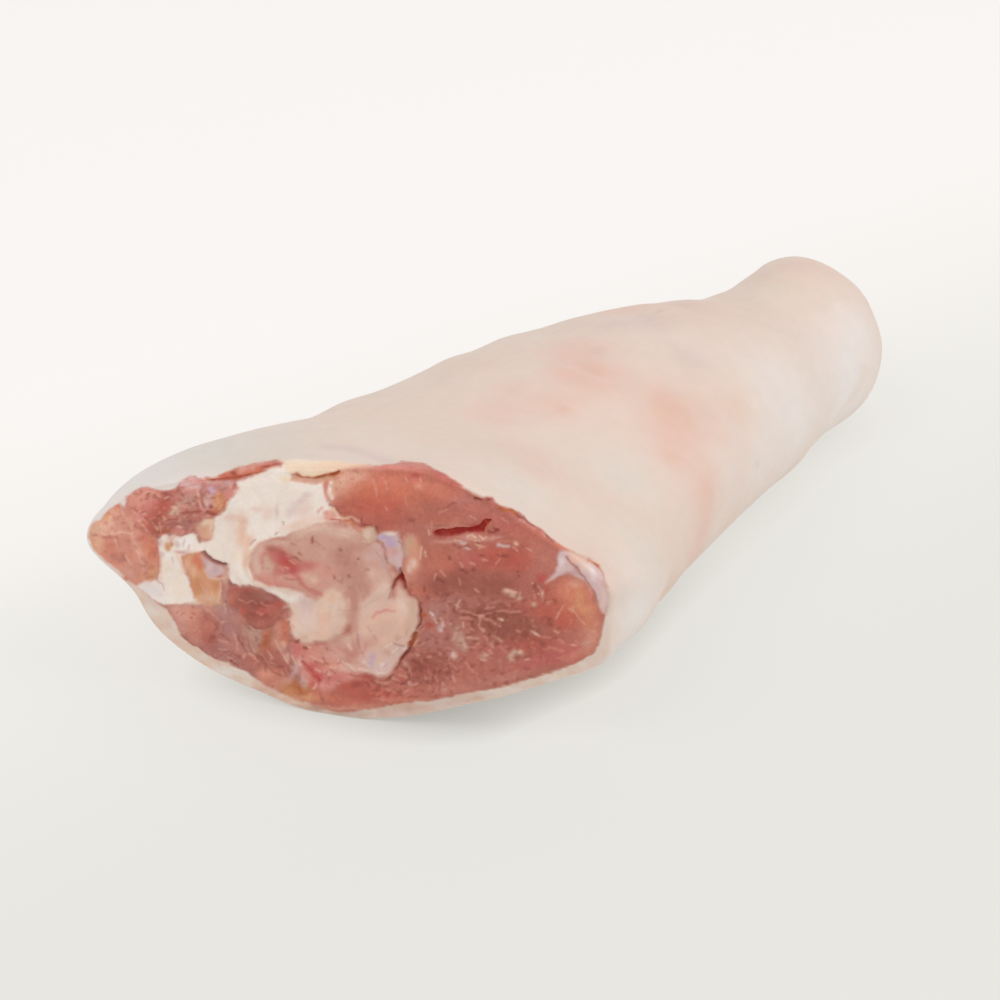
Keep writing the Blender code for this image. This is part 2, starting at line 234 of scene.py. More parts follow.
# Soft patches: tone, strength, size in mm and seed. Spread: their middle cover and contrast.
EDGE_PATCHES = (("rind cool", 0.4, 4.5, 101), ("pink", 0.14, 2.6, 103), ("amber", 0.14, 3.4, 107))
EDGE_SPREAD = (0.3, 1.6)
RIND_MOTTLES = (("rind pink", 0.4, 26.0, 41), ("rind white", 0.5, 19.0, 47))
RIND_SPREAD = (0.5, 0.9)
BONE_END_PORES = (("umber", 0.7, 1.0, 84),)
BONE_END_SPREAD = (0.5, 1.5)
# The bone's end in the ankle cut: start and softness of its shell, and how deep its marrow is.
SHELL_START = 0.58
SHELL_SOFT = 0.16
MARROW_DEPTH = 0.5
# The rind round the ankle cut: start and softness of its edge and of its skin.
ANKLE_EDGE = (0.9, 0.05)
ANKLE_SKIN = (0.975, 0.02)

# Small strokes scattered over the meat: tone, strength, width in pixels, rise in mm, and how
# many in a field of the photograph from its upper left to its lower right corner.
# The pale, peach and salmon strokes are partly the meat's own streaks, partly painted glints on its wet
# surface.
FLECKS = (
    ("salmon", 0.18, 1.9, 0.03, 110, (325, 465), (560, 590)),
    ("dark", 0.3, 1.8, -0.03, 130, (325, 465), (560, 590)),
    ("salmon", 0.26, 1.7, 0.03, 110, (410, 590), (590, 698)),
    ("deep", 0.4, 2.2, -0.05, 200, (400, 590), (560, 698)),
    ("tan", 0.3, 1.6, 0.05, 50, (440, 600), (550, 680)),
    ("clot", 0.35, 2.0, -0.06, 80, (370, 650), (450, 698)),
    ("pale", 0.35, 1.5, 0.04, 50, (370, 650), (460, 700)),
    ("peach", 0.4, 1.5, 0.05, 60, (130, 485), (235, 535)),
    ("deep", 0.38, 1.8, -0.06, 90, (130, 485), (235, 535)),
    ("salmon", 0.4, 1.6, 0.04, 40, (92, 505), (160, 580)),
    ("muscle", 0.45, 2.0, -0.04, 60, (92, 505), (160, 580)),
    ("pale", 0.28, 1.5, 0.04, 100, (160, 600), (340, 705)),
    ("deep", 0.35, 1.7, -0.05, 110, (160, 600), (340, 705)),
)
FLECK_SEED = 5
FLECK_LENGTHS = (1.0, 4.5)
FLECK_BEND = 1.0

# ---------------------------------------------------------------- mesh density
RIND_ROUND = 300
RIND_FIRST_RINGS = (4.8, 5.6, 6.2, 6.8, 7.4)
RIND_EVEN_START = 8.0
RIND_STEP = 1.0
ROLL_RINGS = 16
CUT_CELLS = (390, 195)
LAP_RINGS = 17
ANKLE_CELLS = (110, 110)
BONE_CELLS = (120, 64)
RIM_SAMPLES = 720
BONE_EDGE_SAMPLES = 120
SURFACE_SAMPLE_STEP = 1.5

# ---------------------------------------------------------------- materials
# Noise: size in mm, detail and roughness.
TISSUE_GRAIN = (1.1, 4.0, 0.65)
TISSUE_FINE = (0.45, 2.0, 0.6)
TISSUE_PITS = (0.9, 2.0, 0.5)
SKIN_MOTTLE = (5.0, 4.0, 0.6)
SKIN_SHEEN = (3.0, 2.0, 0.5)
SKIN_PORES = (1.6, 3.0, 0.6)
# Shares of the coarse and the fine grain, and how far they change the colour of each tissue.
COARSE_SHARE = 0.6
FINE_SHARE = 0.4
GRAIN_BASE = 0.10
GRAIN_CONTRAST = (("muscle", 0.55), ("bone", 0.25), ("fat", 0.12))
# Spreads carry the first two numbers to the last two; without the last two, to 0 and 1.
PIT_SPREAD = (0.68, 0.76)
PIT_STRENGTH = 0.35
TISSUE_ROUGHNESS = (0.3, 0.7, 0.34, 0.46)
SKIN_ADDS_ROUGHNESS = 0.12
SKIN_SMOOTHS = -0.85
SKIN_VALUE = (0.3, 0.7, 0.985, 1.015)
SKIN_ROUGHNESS = (0.3, 0.7, 0.46, 0.56)
SKIN_MOTTLE_RISE = 1.5
# Bump: strength, and distance in metres.
TISSUE_BUMP = (0.5, 0.0004)
SKIN_BUMP = (0.25, 0.0003)
TISSUE_SUBSURFACE = 0.12
SKIN_SUBSURFACE = 0.18
SUBSURFACE_RADIUS = (1.0, 0.45, 0.3)
SUBSURFACE_SCALE = 0.003
SPECULAR_LEVEL = 0.4
# Sockets of a colour mix node: share, first and second colour, and the result.
MIX_SOCKETS = (0, 6, 7)
MIX_RESULT = 2

# ---------------------------------------------------------------- stage, in metres
SKY_COLOUR = (0.99, 0.995, 1.0, 1.0)
SKY_STRENGTH = 0.61
# Lamps: place, size and watts.
LAMPS = (("key", (-0.9, 0.2, 1.3), 1.0, 5.4), ("fill", (0.5, -0.95, 1.2), 1.0, 7.4))
FLOOR_SIZE = 6.0
# The share of the floor's light that is its own glow, as on a lit photographer's table. The
# lamps give the rest, which is tinted warm so that shadows on it are cool.
FLOOR_GLOW = 0.78
FLOOR_LIT_TINT = (1.12, 0.99, 0.92)
# The glow darkens where the hock touches the floor, as a painted contact shadow: how near, the
# place where it is deepest, and how its strength fades with the distance from there.
CONTACT_REACH = 0.01
CONTACT_SAMPLES = 8
CONTACT_DEEPEST = (-0.068, -0.034, 0.0)
CONTACT_FADE = (0.015, 0.1, 0.46, 0.1)
# The floor pales towards the back as painted light: its tones (sRGB), the direction back and where it
# changes.
FLOOR_NEAR = (233, 232, 226)
FLOOR_FAR = (252, 248, 245)
FLOOR_SLOPE = (0.29, 0.957)
FLOOR_FADE = (-0.09, 0.17)

# Bumps of the rind: height and reach in mm, and the pixel each shows at.
RIND_BUMPS = (
    (1.3, 8, (344, 401)), (-1.8, 8, (423, 376)), (0.8, 6, (450, 361)), (1.0, 8, (512, 336)),
    (-1.5, 7, (542, 331)), (-1.2, 7, (628, 310)), (0.5, 6, (648, 305)), (-1.5, 9, (722, 295)),
    (-1.3, 7, (749, 280)), (0.9, 7, (862, 294)), (0.9, 9, (880, 345)), (0.9, 8, (795, 466)),
    (-1.2, 7, (662, 600)), (0.35, 4, (560, 400)), (-0.3, 5, (600, 440)), (0.3, 5, (660, 400)),
    (-0.3, 6, (700, 350)), (0.3, 5, (760, 330)), (-0.35, 5, (820, 300)), (0.3, 5, (500, 430)),
)
# Creases of the rind: tone, strength, width and depth in mm, and the pixels each shows at.
RIND_CREASES = (
    # The darker tones in the creases are partly marks of the rind and partly painted shade; the lilac
    # crease above the cut and the fold at the ankle end are painted shade.
    ("lilac", 0.3, 2.0, 0.15, "326,444 345,446 365,450 385,457 396,462"),
    ("rind edge", 0.35, 2.2, 0.35, "863,372 858,388 849,402 836,418"),
    ("umber", 0.3, 0.6, 0.3, "636,310 650,312 662,309"),
    ("clot", 0.3, 0.6, 0.3, "863,292 867,296 869,300"),
    ("umber", 0.12, 0.6, 0.1, "756,463 758,465"),
    ("rind cool", 0.2, 1.4, -0.1, "560,366 590,377 606,382"),
    ("rind pink", 0.25, 4.0, 0.0, "656,395 672,410 676,440 680,462"),
    ("rind pink", 0.3, 4.6, 0.0, "708,470 711,492 706,520 694,552"),
)

# Patches of the rind: tone, strength, the pixel they show at, and reach in mm.
RIND_PATCHES = (
    # The rind cool patches in the next four rows lighten the top left and the lower edges, which the
    # lamps leave in shade: partly the rind's cool tone, partly painted light.
    ("rind cool", 1.0, (150, 470), 18), ("rind cool", 0.7, (118, 500), 9),
    ("rind cool", 0.6, (172, 481), 9), ("rind cool", 0.9, (200, 657), 9),
    ("rind cool", 0.8, (152, 611), 8), ("rind cool", 0.6, (250, 685), 7),
    ("rind cool", 0.6, (592, 665), 7), ("rind grey", 0.8, (210, 450), 16),
    ("rind grey", 0.4, (280, 440), 14), ("rind white", 0.5, (420, 450), 14),
    ("rind white", 0.6, (520, 490), 18), ("rind white", 0.5, (600, 480), 12),
    ("rind white", 0.6, (640, 590), 14), ("rind pink", 0.8, (590, 375), 9),
    ("rind pink", 0.5, (575, 350), 9), ("rind pink", 0.4, (510, 410), 8),
    ("rind pink", 0.45, (560, 405), 8), ("rind pink", 0.5, (672, 410), 9),
    ("rind pink", 0.45, (680, 440), 9), ("peach", 0.35, (712, 420), 8),
    ("rind pink", 0.25, (700, 490), 7),
    ("rind pink", 0.25, (700, 540), 7), ("rind pink", 0.3, (690, 575), 7),
    ("rind pink", 0.3, (600, 560), 6), ("rind grey", 0.4, (760, 290), 8),
    ("rind white", 0.8, (760, 370), 16), ("rind white", 0.9, (830, 370), 18),
    ("rind white", 0.5, (690, 340), 10), ("rind pink", 0.25, (800, 266), 8),
    # The rind cool patches in these three rows lighten the rind's shaded right side: partly its cool
    # tone, partly painted light.
    ("rind cool", 1.0, (850, 390), 16), ("rind cool", 0.8, (800, 420), 18),
    ("rind cool", 0.6, (760, 450), 16), ("rind cool", 0.7, (860, 330), 12),
    ("rind cool", 0.4, (730, 500), 14), ("rind cool", 0.9, (640, 612), 13),
    ("peach", 0.35, (590, 372), 4), ("peach", 0.3, (600, 352), 3), ("peach", 0.4, (565, 412), 2),
    ("peach", 0.3, (515, 388), 4), ("peach", 0.3, (672, 412), 5), ("peach", 0.3, (668, 455), 3),
    ("rind pink", 0.35, (706, 490), 4), ("rind pink", 0.25, (706, 520), 4),
    ("rind pink", 0.4, (696, 558), 4), ("lilac", 0.25, (650, 318), 7), ("lilac", 0.2, (610, 325), 6),
    ("lilac", 0.2, (690, 306), 5), ("rind grey", 0.5, (620, 470), 9), ("rind grey", 0.4, (520, 490), 8),
    ("rind grey", 0.4, (640, 540), 8), ("butter", 0.45, (735, 300), 7), ("butter", 0.45, (775, 282), 8),
    ("lilac", 0.25, (690, 355), 6), ("butter", 0.3, (740, 400), 8), ("butter", 0.3, (800, 300), 5),
    ("butter", 0.25, (430, 440), 8), ("peach", 0.2, (735, 410), 7),
)

# Ankle cut: tone, tissue, strength, middle across and up, reach across and up, softness.
ANKLE_LAYERS = (
    ("cream", "fat", 0.6, 0, 22, 21, 17, 0.5),
    ("salmon", "muscle", 0.7, 0, 33.5, 14, 4.5, 0.6),
    ("muscle", "muscle", 0.9, 0, 33.0, 10, 2.8, 0.7),
    ("salmon", "muscle", 0.7, -16, 22, 4, 9, 0.6),
    ("muscle", "muscle", 0.9, -16.2, 22, 2.6, 6.5, 0.7),
    ("dark", "muscle", 0.7, 15.8, 25, 2.4, 6, 0.7),
    ("salmon", "muscle", 0.7, 1, 9, 12, 3.2, 0.6),
    ("muscle", "muscle", 0.8, 1, 9, 9, 2.2, 0.7),
    ("white", "fat", 0.9, -9, 33, 3, 2.4, 0.5),
    ("white", "fat", 0.9, 8, 34, 3, 2.2, 0.5),
    ("white", "fat", 0.9, -14, 14, 2.6, 2.6, 0.5),
    ("lilac", "fat", 0.9, 13, 14, 2.8, 2.4, 0.5),
)


def smooth_curve(knots, values, at):
    """Read a smooth curve through the knots; values may have several columns."""
    knots = np.asarray(knots, float)
    values = np.asarray(values, float)
    slopes = np.gradient(values, knots, axis=0)
    at = np.clip(np.asarray(at, float), knots[0], knots[-1])
    low = np.clip(np.searchsorted(knots, at, side="right") - 1, 0, len(knots) - 2)
    span = knots[low + 1] - knots[low]
    f = (at - knots[low]) / span
    shape = f.shape + (1,) * (values.ndim - 1)
    f = f.reshape(shape)
    span = span.reshape(shape)
    start = (2 * f**3 - 3 * f**2 + 1) * values[low] + (f**3 - 2 * f**2 + f) * span * slopes[low]
    end = (3 * f**2 - 2 * f**3) * values[low + 1] + (f**3 - f**2) * span * slopes[low + 1]
    return start + end


def closed_outline(points, middle, aspect, angles):
    """Read a closed outline at angles round its middle, from the right over the top."""
    points = np.asarray(points, float)
    offset = points - middle
    turn = np.unwrap(np.arctan2(offset[:, 1] * aspect, offset[:, 0]))
    knots = np.concatenate([turn - tau, turn, turn + tau])
    return smooth_curve(knots, np.concatenate([points] * 3), np.mod(angles - turn[0], tau) + turn[0])


def ease(value):
    """A smooth step from 0 to 1."""
    value = np.clip(value, 0.0, 1.0)
    return value * value * (3 - 2 * value)


def form_rise(forms, across, up):
    """Sum of the swellings at points of a cut."""
    rise = np.zeros_like(across)
    for _name, mid_across, mid_up, reach_across, reach_up, turn, height in forms:
        c, s = cos(radians(turn)), sin(radians(turn))
        du, dv = across - mid_across, up - mid_up
        far = ((du * c + dv * s) / reach_across) ** 2 + ((dv * c - du * s) / reach_up) ** 2
        rise += height * np.exp(-far**1.5)
    return rise


def ring_outline(along, angles, section):
    """Across and up of a plain ring, the knee's outline easing into an oval, and its size."""
    _x, _y, _yaw, left, right, bottom, top = section
    c, s = np.cos(angles), np.sin(angles)
    half = np.where(c >= 0, right, left)
    middle = (top + bottom) / 2
    round_across, round_up = half * c, middle + (top - middle) * s
    cut = closed_outline(KNEE_OUTLINE, OUTLINE_MIDDLE, OUTLINE_ASPECT, angles)
    cut_across = cut[:, 0] * half / KNEE_HALF_WIDTH
    cut_up = cut[:, 1] * top / KNEE_HEIGHT
    blend = ease(along / OUTLINE_FADE)
    across = cut_across + (round_across - cut_across) * blend
    up = cut_up + (round_up - cut_up) * blend
    return across, up, half, middle


def end_inset(along):
    """How far the rounding of the leg's ends brings a ring inward."""
    knee_gap = np.clip(1 - along / KNEE_EDGE_ROUND, 0, 1)
    ankle_gap = np.clip(1 - (LEG_SECTIONS[-1][0] - along) / ANKLE_ROLL, 0, 1)
    knee_inset = KNEE_EDGE_ROUND * (1 - np.sqrt(1 - knee_gap**2)) * KNEE_EDGE_SHARE
    return knee_inset + ANKLE_ROLL * (1 - np.sqrt(1 - ankle_gap**2)) * ANKLE_ROLL_SHARE


def leg_point(along, angles, inward=0.0):
    """Points of the rind's ring at one distance along the leg, moved inward by some mm."""
    table = np.array(LEG_SECTIONS)
    section = smooth_curve(table[:, 0], table, along)
    across, up, half, middle = ring_outline(along, angles, section)
    inset = end_inset(along) + inward - swelling(along, np.degrees(angles), half)
    radius = np.hypot(across, up - middle)
    across = across * (1 - inset / radius)
    up = middle + (up - middle) * (1 - inset / radius)
    x, y, yaw = section[0], section[1], radians(section[2])
    out = rim_bulge(angles) * (1 - ease(along / RIM_BULGE_FADE))
    return np.stack([
        x + across * sin(yaw) - out * cos(yaw),
        y - across * cos(yaw) - out * sin(yaw),
        np.maximum(up, 0.0),
    ], -1)


def rim_bulge(angles):
    """How far the knee cut's rim stands out at angles round it."""
    table = np.array(KNEE_RIM_BULGE)
    return smooth_curve(table[:, 0], table[:, 1], np.mod(np.degrees(angles), 360))


def swelling(along, degrees_round, half):
    """Rise of the rind's low swellings round one ring."""
    rise = np.zeros_like(degrees_round)
    for _name, at, angle, reach_along, reach_round, height in RIND_SWELLINGS:
        turn = (degrees_round - angle + 180) % 360 - 180
        far = ((along - at) / reach_along) ** 2 + (np.radians(turn) * half / reach_round) ** 2
        rise += height * np.exp(-far)
    return rise


def disc_grid(cells):
    """Radius and angle of a grid, cells across by cells up, pressed into a disc."""
    x, y = (np.sqrt(2) * np.sin(np.radians(np.linspace(-45.0, 45.0, n + 1))) for n in cells)
    x, y = np.meshgrid(x, y, indexing="ij")
    disc_x = x * np.sqrt(np.maximum(1 - y * y / 2, 0))
    disc_y = y * np.sqrt(np.maximum(1 - x * x / 2, 0))
    return np.hypot(disc_x, disc_y), np.arctan2(disc_y, disc_x)


def rim_angles(cells):
    """Angles of the grid's rim points, from the lower right corner up and round."""
    across, up = cells
    sides = ((-45.0, up), (45.0, across), (135.0, up), (225.0, across))
    return np.radians(np.concatenate([start + np.arange(n) * 90.0 / n for start, n in sides]))


def cap_points(rim, rim_round, radius, angle):
    """Spread a rim of points inwards over a disc grid."""
    middle = rim.mean(axis=0)
    edge = np.stack([np.interp(angle, rim_round, rim[:, k], period=tau) for k in range(3)], -1)
    return middle + (edge - middle) * radius[..., None]


def cut_frame(section):
    """Middle of a cut, its across direction and its lengthwise direction."""
    x, y, yaw = section[0], section[1], radians(section[2])
    across = np.array([sin(yaw), -cos(yaw), 0.0])
    lengthwise = np.array([cos(yaw), sin(yaw), 0.0])
    return np.array([x, y, 0.0]), across, lengthwise


# ---------------------------------------------------------------- noise
LATTICE_SIDE = 32
LATTICE_SEED = 7
LATTICE = np.random.default_rng(LATTICE_SEED).random((LATTICE_SIDE,) * 3)
SEED_STEP = 7.31
OCTAVE_WEIGHT = 0.55


def noise(points, size, seed=0):
    """Smooth noise from -1 to 1, with lumps about as large as size."""
    cell = points / size + seed * SEED_STEP
    base = np.floor(cell).astype(int)
    high = ease(cell - base)
    shares = (1 - high, high)
    places = (base % LATTICE_SIDE, (base + 1) % LATTICE_SIDE)
    total = 0.0
    for steps in np.ndindex(2, 2, 2):
        x, y, z = (shares[step][..., k] for k, step in enumerate(steps))
        i, j, k = (places[step][..., k] for k, step in enumerate(steps))
        total = total + x * y * z * LATTICE[i, j, k]
    return total * 2 - 1


def rough_noise(points, size, seed=0, octaves=3):
    """Noise with finer and weaker layers added."""
    total, weight, whole = 0.0, 1.0, 0.0
    for octave in range(octaves):
        total = total + weight * noise(points, size / 2**octave, seed + octave)
        whole += weight
        weight *= OCTAVE_WEIGHT
    return total / whole


def uneven(points, rows):
    """Sum of rows of noise: height, size in mm, seed and octaves."""
    return sum(height * rough_noise(points, *row) for height, *row in rows)


def warp(points, reach, size, seeds, octaves):
    """A smooth shift of points, with one seed for each direction."""
    return np.stack([rough_noise(points, size, seed, octaves) for seed in seeds], -1) * reach


# ---------------------------------------------------------------- the photograph's frame
def camera_axes():
    """The camera's right, up and forward directions."""
    forward = CAMERA_AIM / np.linalg.norm(CAMERA_AIM)
    right = np.cross(forward, (0.0, 0.0, 1.0))
    right /= np.linalg.norm(right)
    return right, np.cross(right, forward), forward


def to_photo(points):
    """Pixels at which points of the leg's frame show."""
    right, up, forward = camera_axes()
    ray = points - CAMERA_PLACE
    depth = ray @ forward
    return np.stack([AXIS_PIXEL[0] + FOCAL_PIXELS * (ray @ right) / depth,
                     AXIS_PIXEL[1] - FOCAL_PIXELS * (ray @ up) / depth], -1)


# ---------------------------------------------------------------- tones, as seen (sRGB, 0-255)
TONES = {
    "muscle": (178, 104, 90), "dark": (158, 86, 74), "brown": (150, 82, 68),
    "deep": (134, 62, 52), "grey": (170, 110, 102), "mauve": (174, 122, 118),
    "orange": (203, 114, 88), "salmon": (210, 142, 122), "red": (184, 86, 71),
    "rose": (190, 98, 93), "pale": (210, 153, 140), "amber": (209, 149, 114),
    "ochre": (196, 130, 88), "peach": (223, 180, 158), "blood": (152, 14, 2),
    "clot": (132, 50, 40), "rust": (172, 84, 40), "crimson": (184, 66, 62),
    "white": (234, 220, 212), "fat": (229, 208, 197), "cream": (222, 191, 176),
    "lump": (214, 177, 163), "tan": (199, 166, 146), "lavender": (186, 160, 192),
    "lilac": (207, 177, 178), "bone": (203, 154, 140), "umber": (184, 127, 114),
    "marrow": (184, 84, 78), "pink": (210, 137, 127), "violet": (128, 82, 84),
    "butter": (232, 208, 183), "mist": (226, 214, 214), "rind": (232, 209, 194),
    "rind pink": (233, 188, 171), "rind white": (232, 214, 202), "rind grey": (224, 217, 207),
    "rind cool": (238, 230, 226), "rind edge": (235, 211, 194),
}


Layer = namedtuple("Layer", "form tone strength size paths rise tissue")


def trace(text):
    """Paths of numbers from text: places are split by spaces, paths by semicolons."""
    return [[tuple(float(v) for v in place.split(",")) for place in path.split()]
            for path in text.split(";")]


def fill(tone, soft, outline, rise=0.0, tissue=None):
    """An area: its tone, the softness of its edge in pixels, outline, rise in mm and tissue."""
    return Layer("fill", tone, 1.0, soft, trace(outline), rise, tissue)


def dab(tone, strength, ovals, rise=0.0):
    """Soft touches of colour: middle, reach across and down in pixels, and turn in degrees."""
    return Layer("dab", tone, strength, 0.0, trace(ovals), rise, None)


def line(tone, strength, width, paths, rise=0.0):
    """Drawn lines: width in pixels."""
    return Layer("line", tone, strength, width, trace(paths), rise, None)


# The meat's edge in the photograph: outside it is the rind.
MEAT_EDGE = trace("""
    88,537 89,528 93,523 100,520 104,513 111,507 119,503 124,508 126,500 129,496 134,492
    141,488 149,487 156,491 165,491 173,489 179,485 182,480 187,477 193,476 199,479 205,477
    212,478 220,474 228,471 236,467 246,465 258,463 270,460 283,460 290,459 302,459 318,460
    335,461 350,463 365,465 380,465 395,464 402,461 412,462 424,464 434,469 444,474
    452,479 460,484 468,490 474,495 480,497 491,496 495,500 500,505 512,509 521,514 529,520
    538,527 546,534 554,541 562,546 572,550 582,555 592,560 599,565 602,572 605,582 609,592
    610,602 607,612 604,622 602,634 599,645 592,653 582,660 572,664 562,668 550,673 538,676
    525,680 512,684 500,687 485,690 468,693 450,697 435,700 420,702 405,703 394,705 380,708
    364,709 354,712 344,712 330,710 315,706 300,701 290,697 282,693 272,689 262,683 254,677
    246,671 236,667 226,662 217,659 207,654 198,648 190,643 182,637 178,628 172,618 167,610
    160,605 154,601 147,594 140,587 134,584 126,579 118,571 110,564 100,556 93,549""")[0]

# The rind's cut edge under the meat.
EDGE_LAYERS = (
    dab("cream", 0.9, "390,711,26,7 425,706,28,7 462,699,22,6"),
    dab("pale", 0.25, "382,713,14,4 405,709,12,4 445,702,14,4"),
    # The tan and umber dabs darken the band's lowest edge, where it turns under the hock: partly its own
    # tan, partly painted shade.
    dab("tan", 0.95, "322,709,16,4 345,713,20,5 362,714,8,3"),
    dab("umber", 0.4, "318,708,8,2 350,714,9,2"),
    dab("peach", 0.6, "165,626,6,4 262,689,9,4 300,705,9,4 286,700,8,3"),
    dab("tan", 0.4, "275,695,6,3 300,706,6,2 262,690,5,2"),
    # The butter and rind cool dabs lighten the band where it faces down away from the lamps: partly its
    # pale colour, partly painted light.
    dab("butter", 0.9, "200,656,14,5"),
    dab("butter", 0.5, "150,608,8,5"),
    dab("rind cool", 0.3, "169,626,8,6"),
    dab("rind cool", 0.7, "225,671,9,5 545,679,9,4 590,664,9,4 515,690,8,3 200,656,12,5 152,609,9,7"),
)

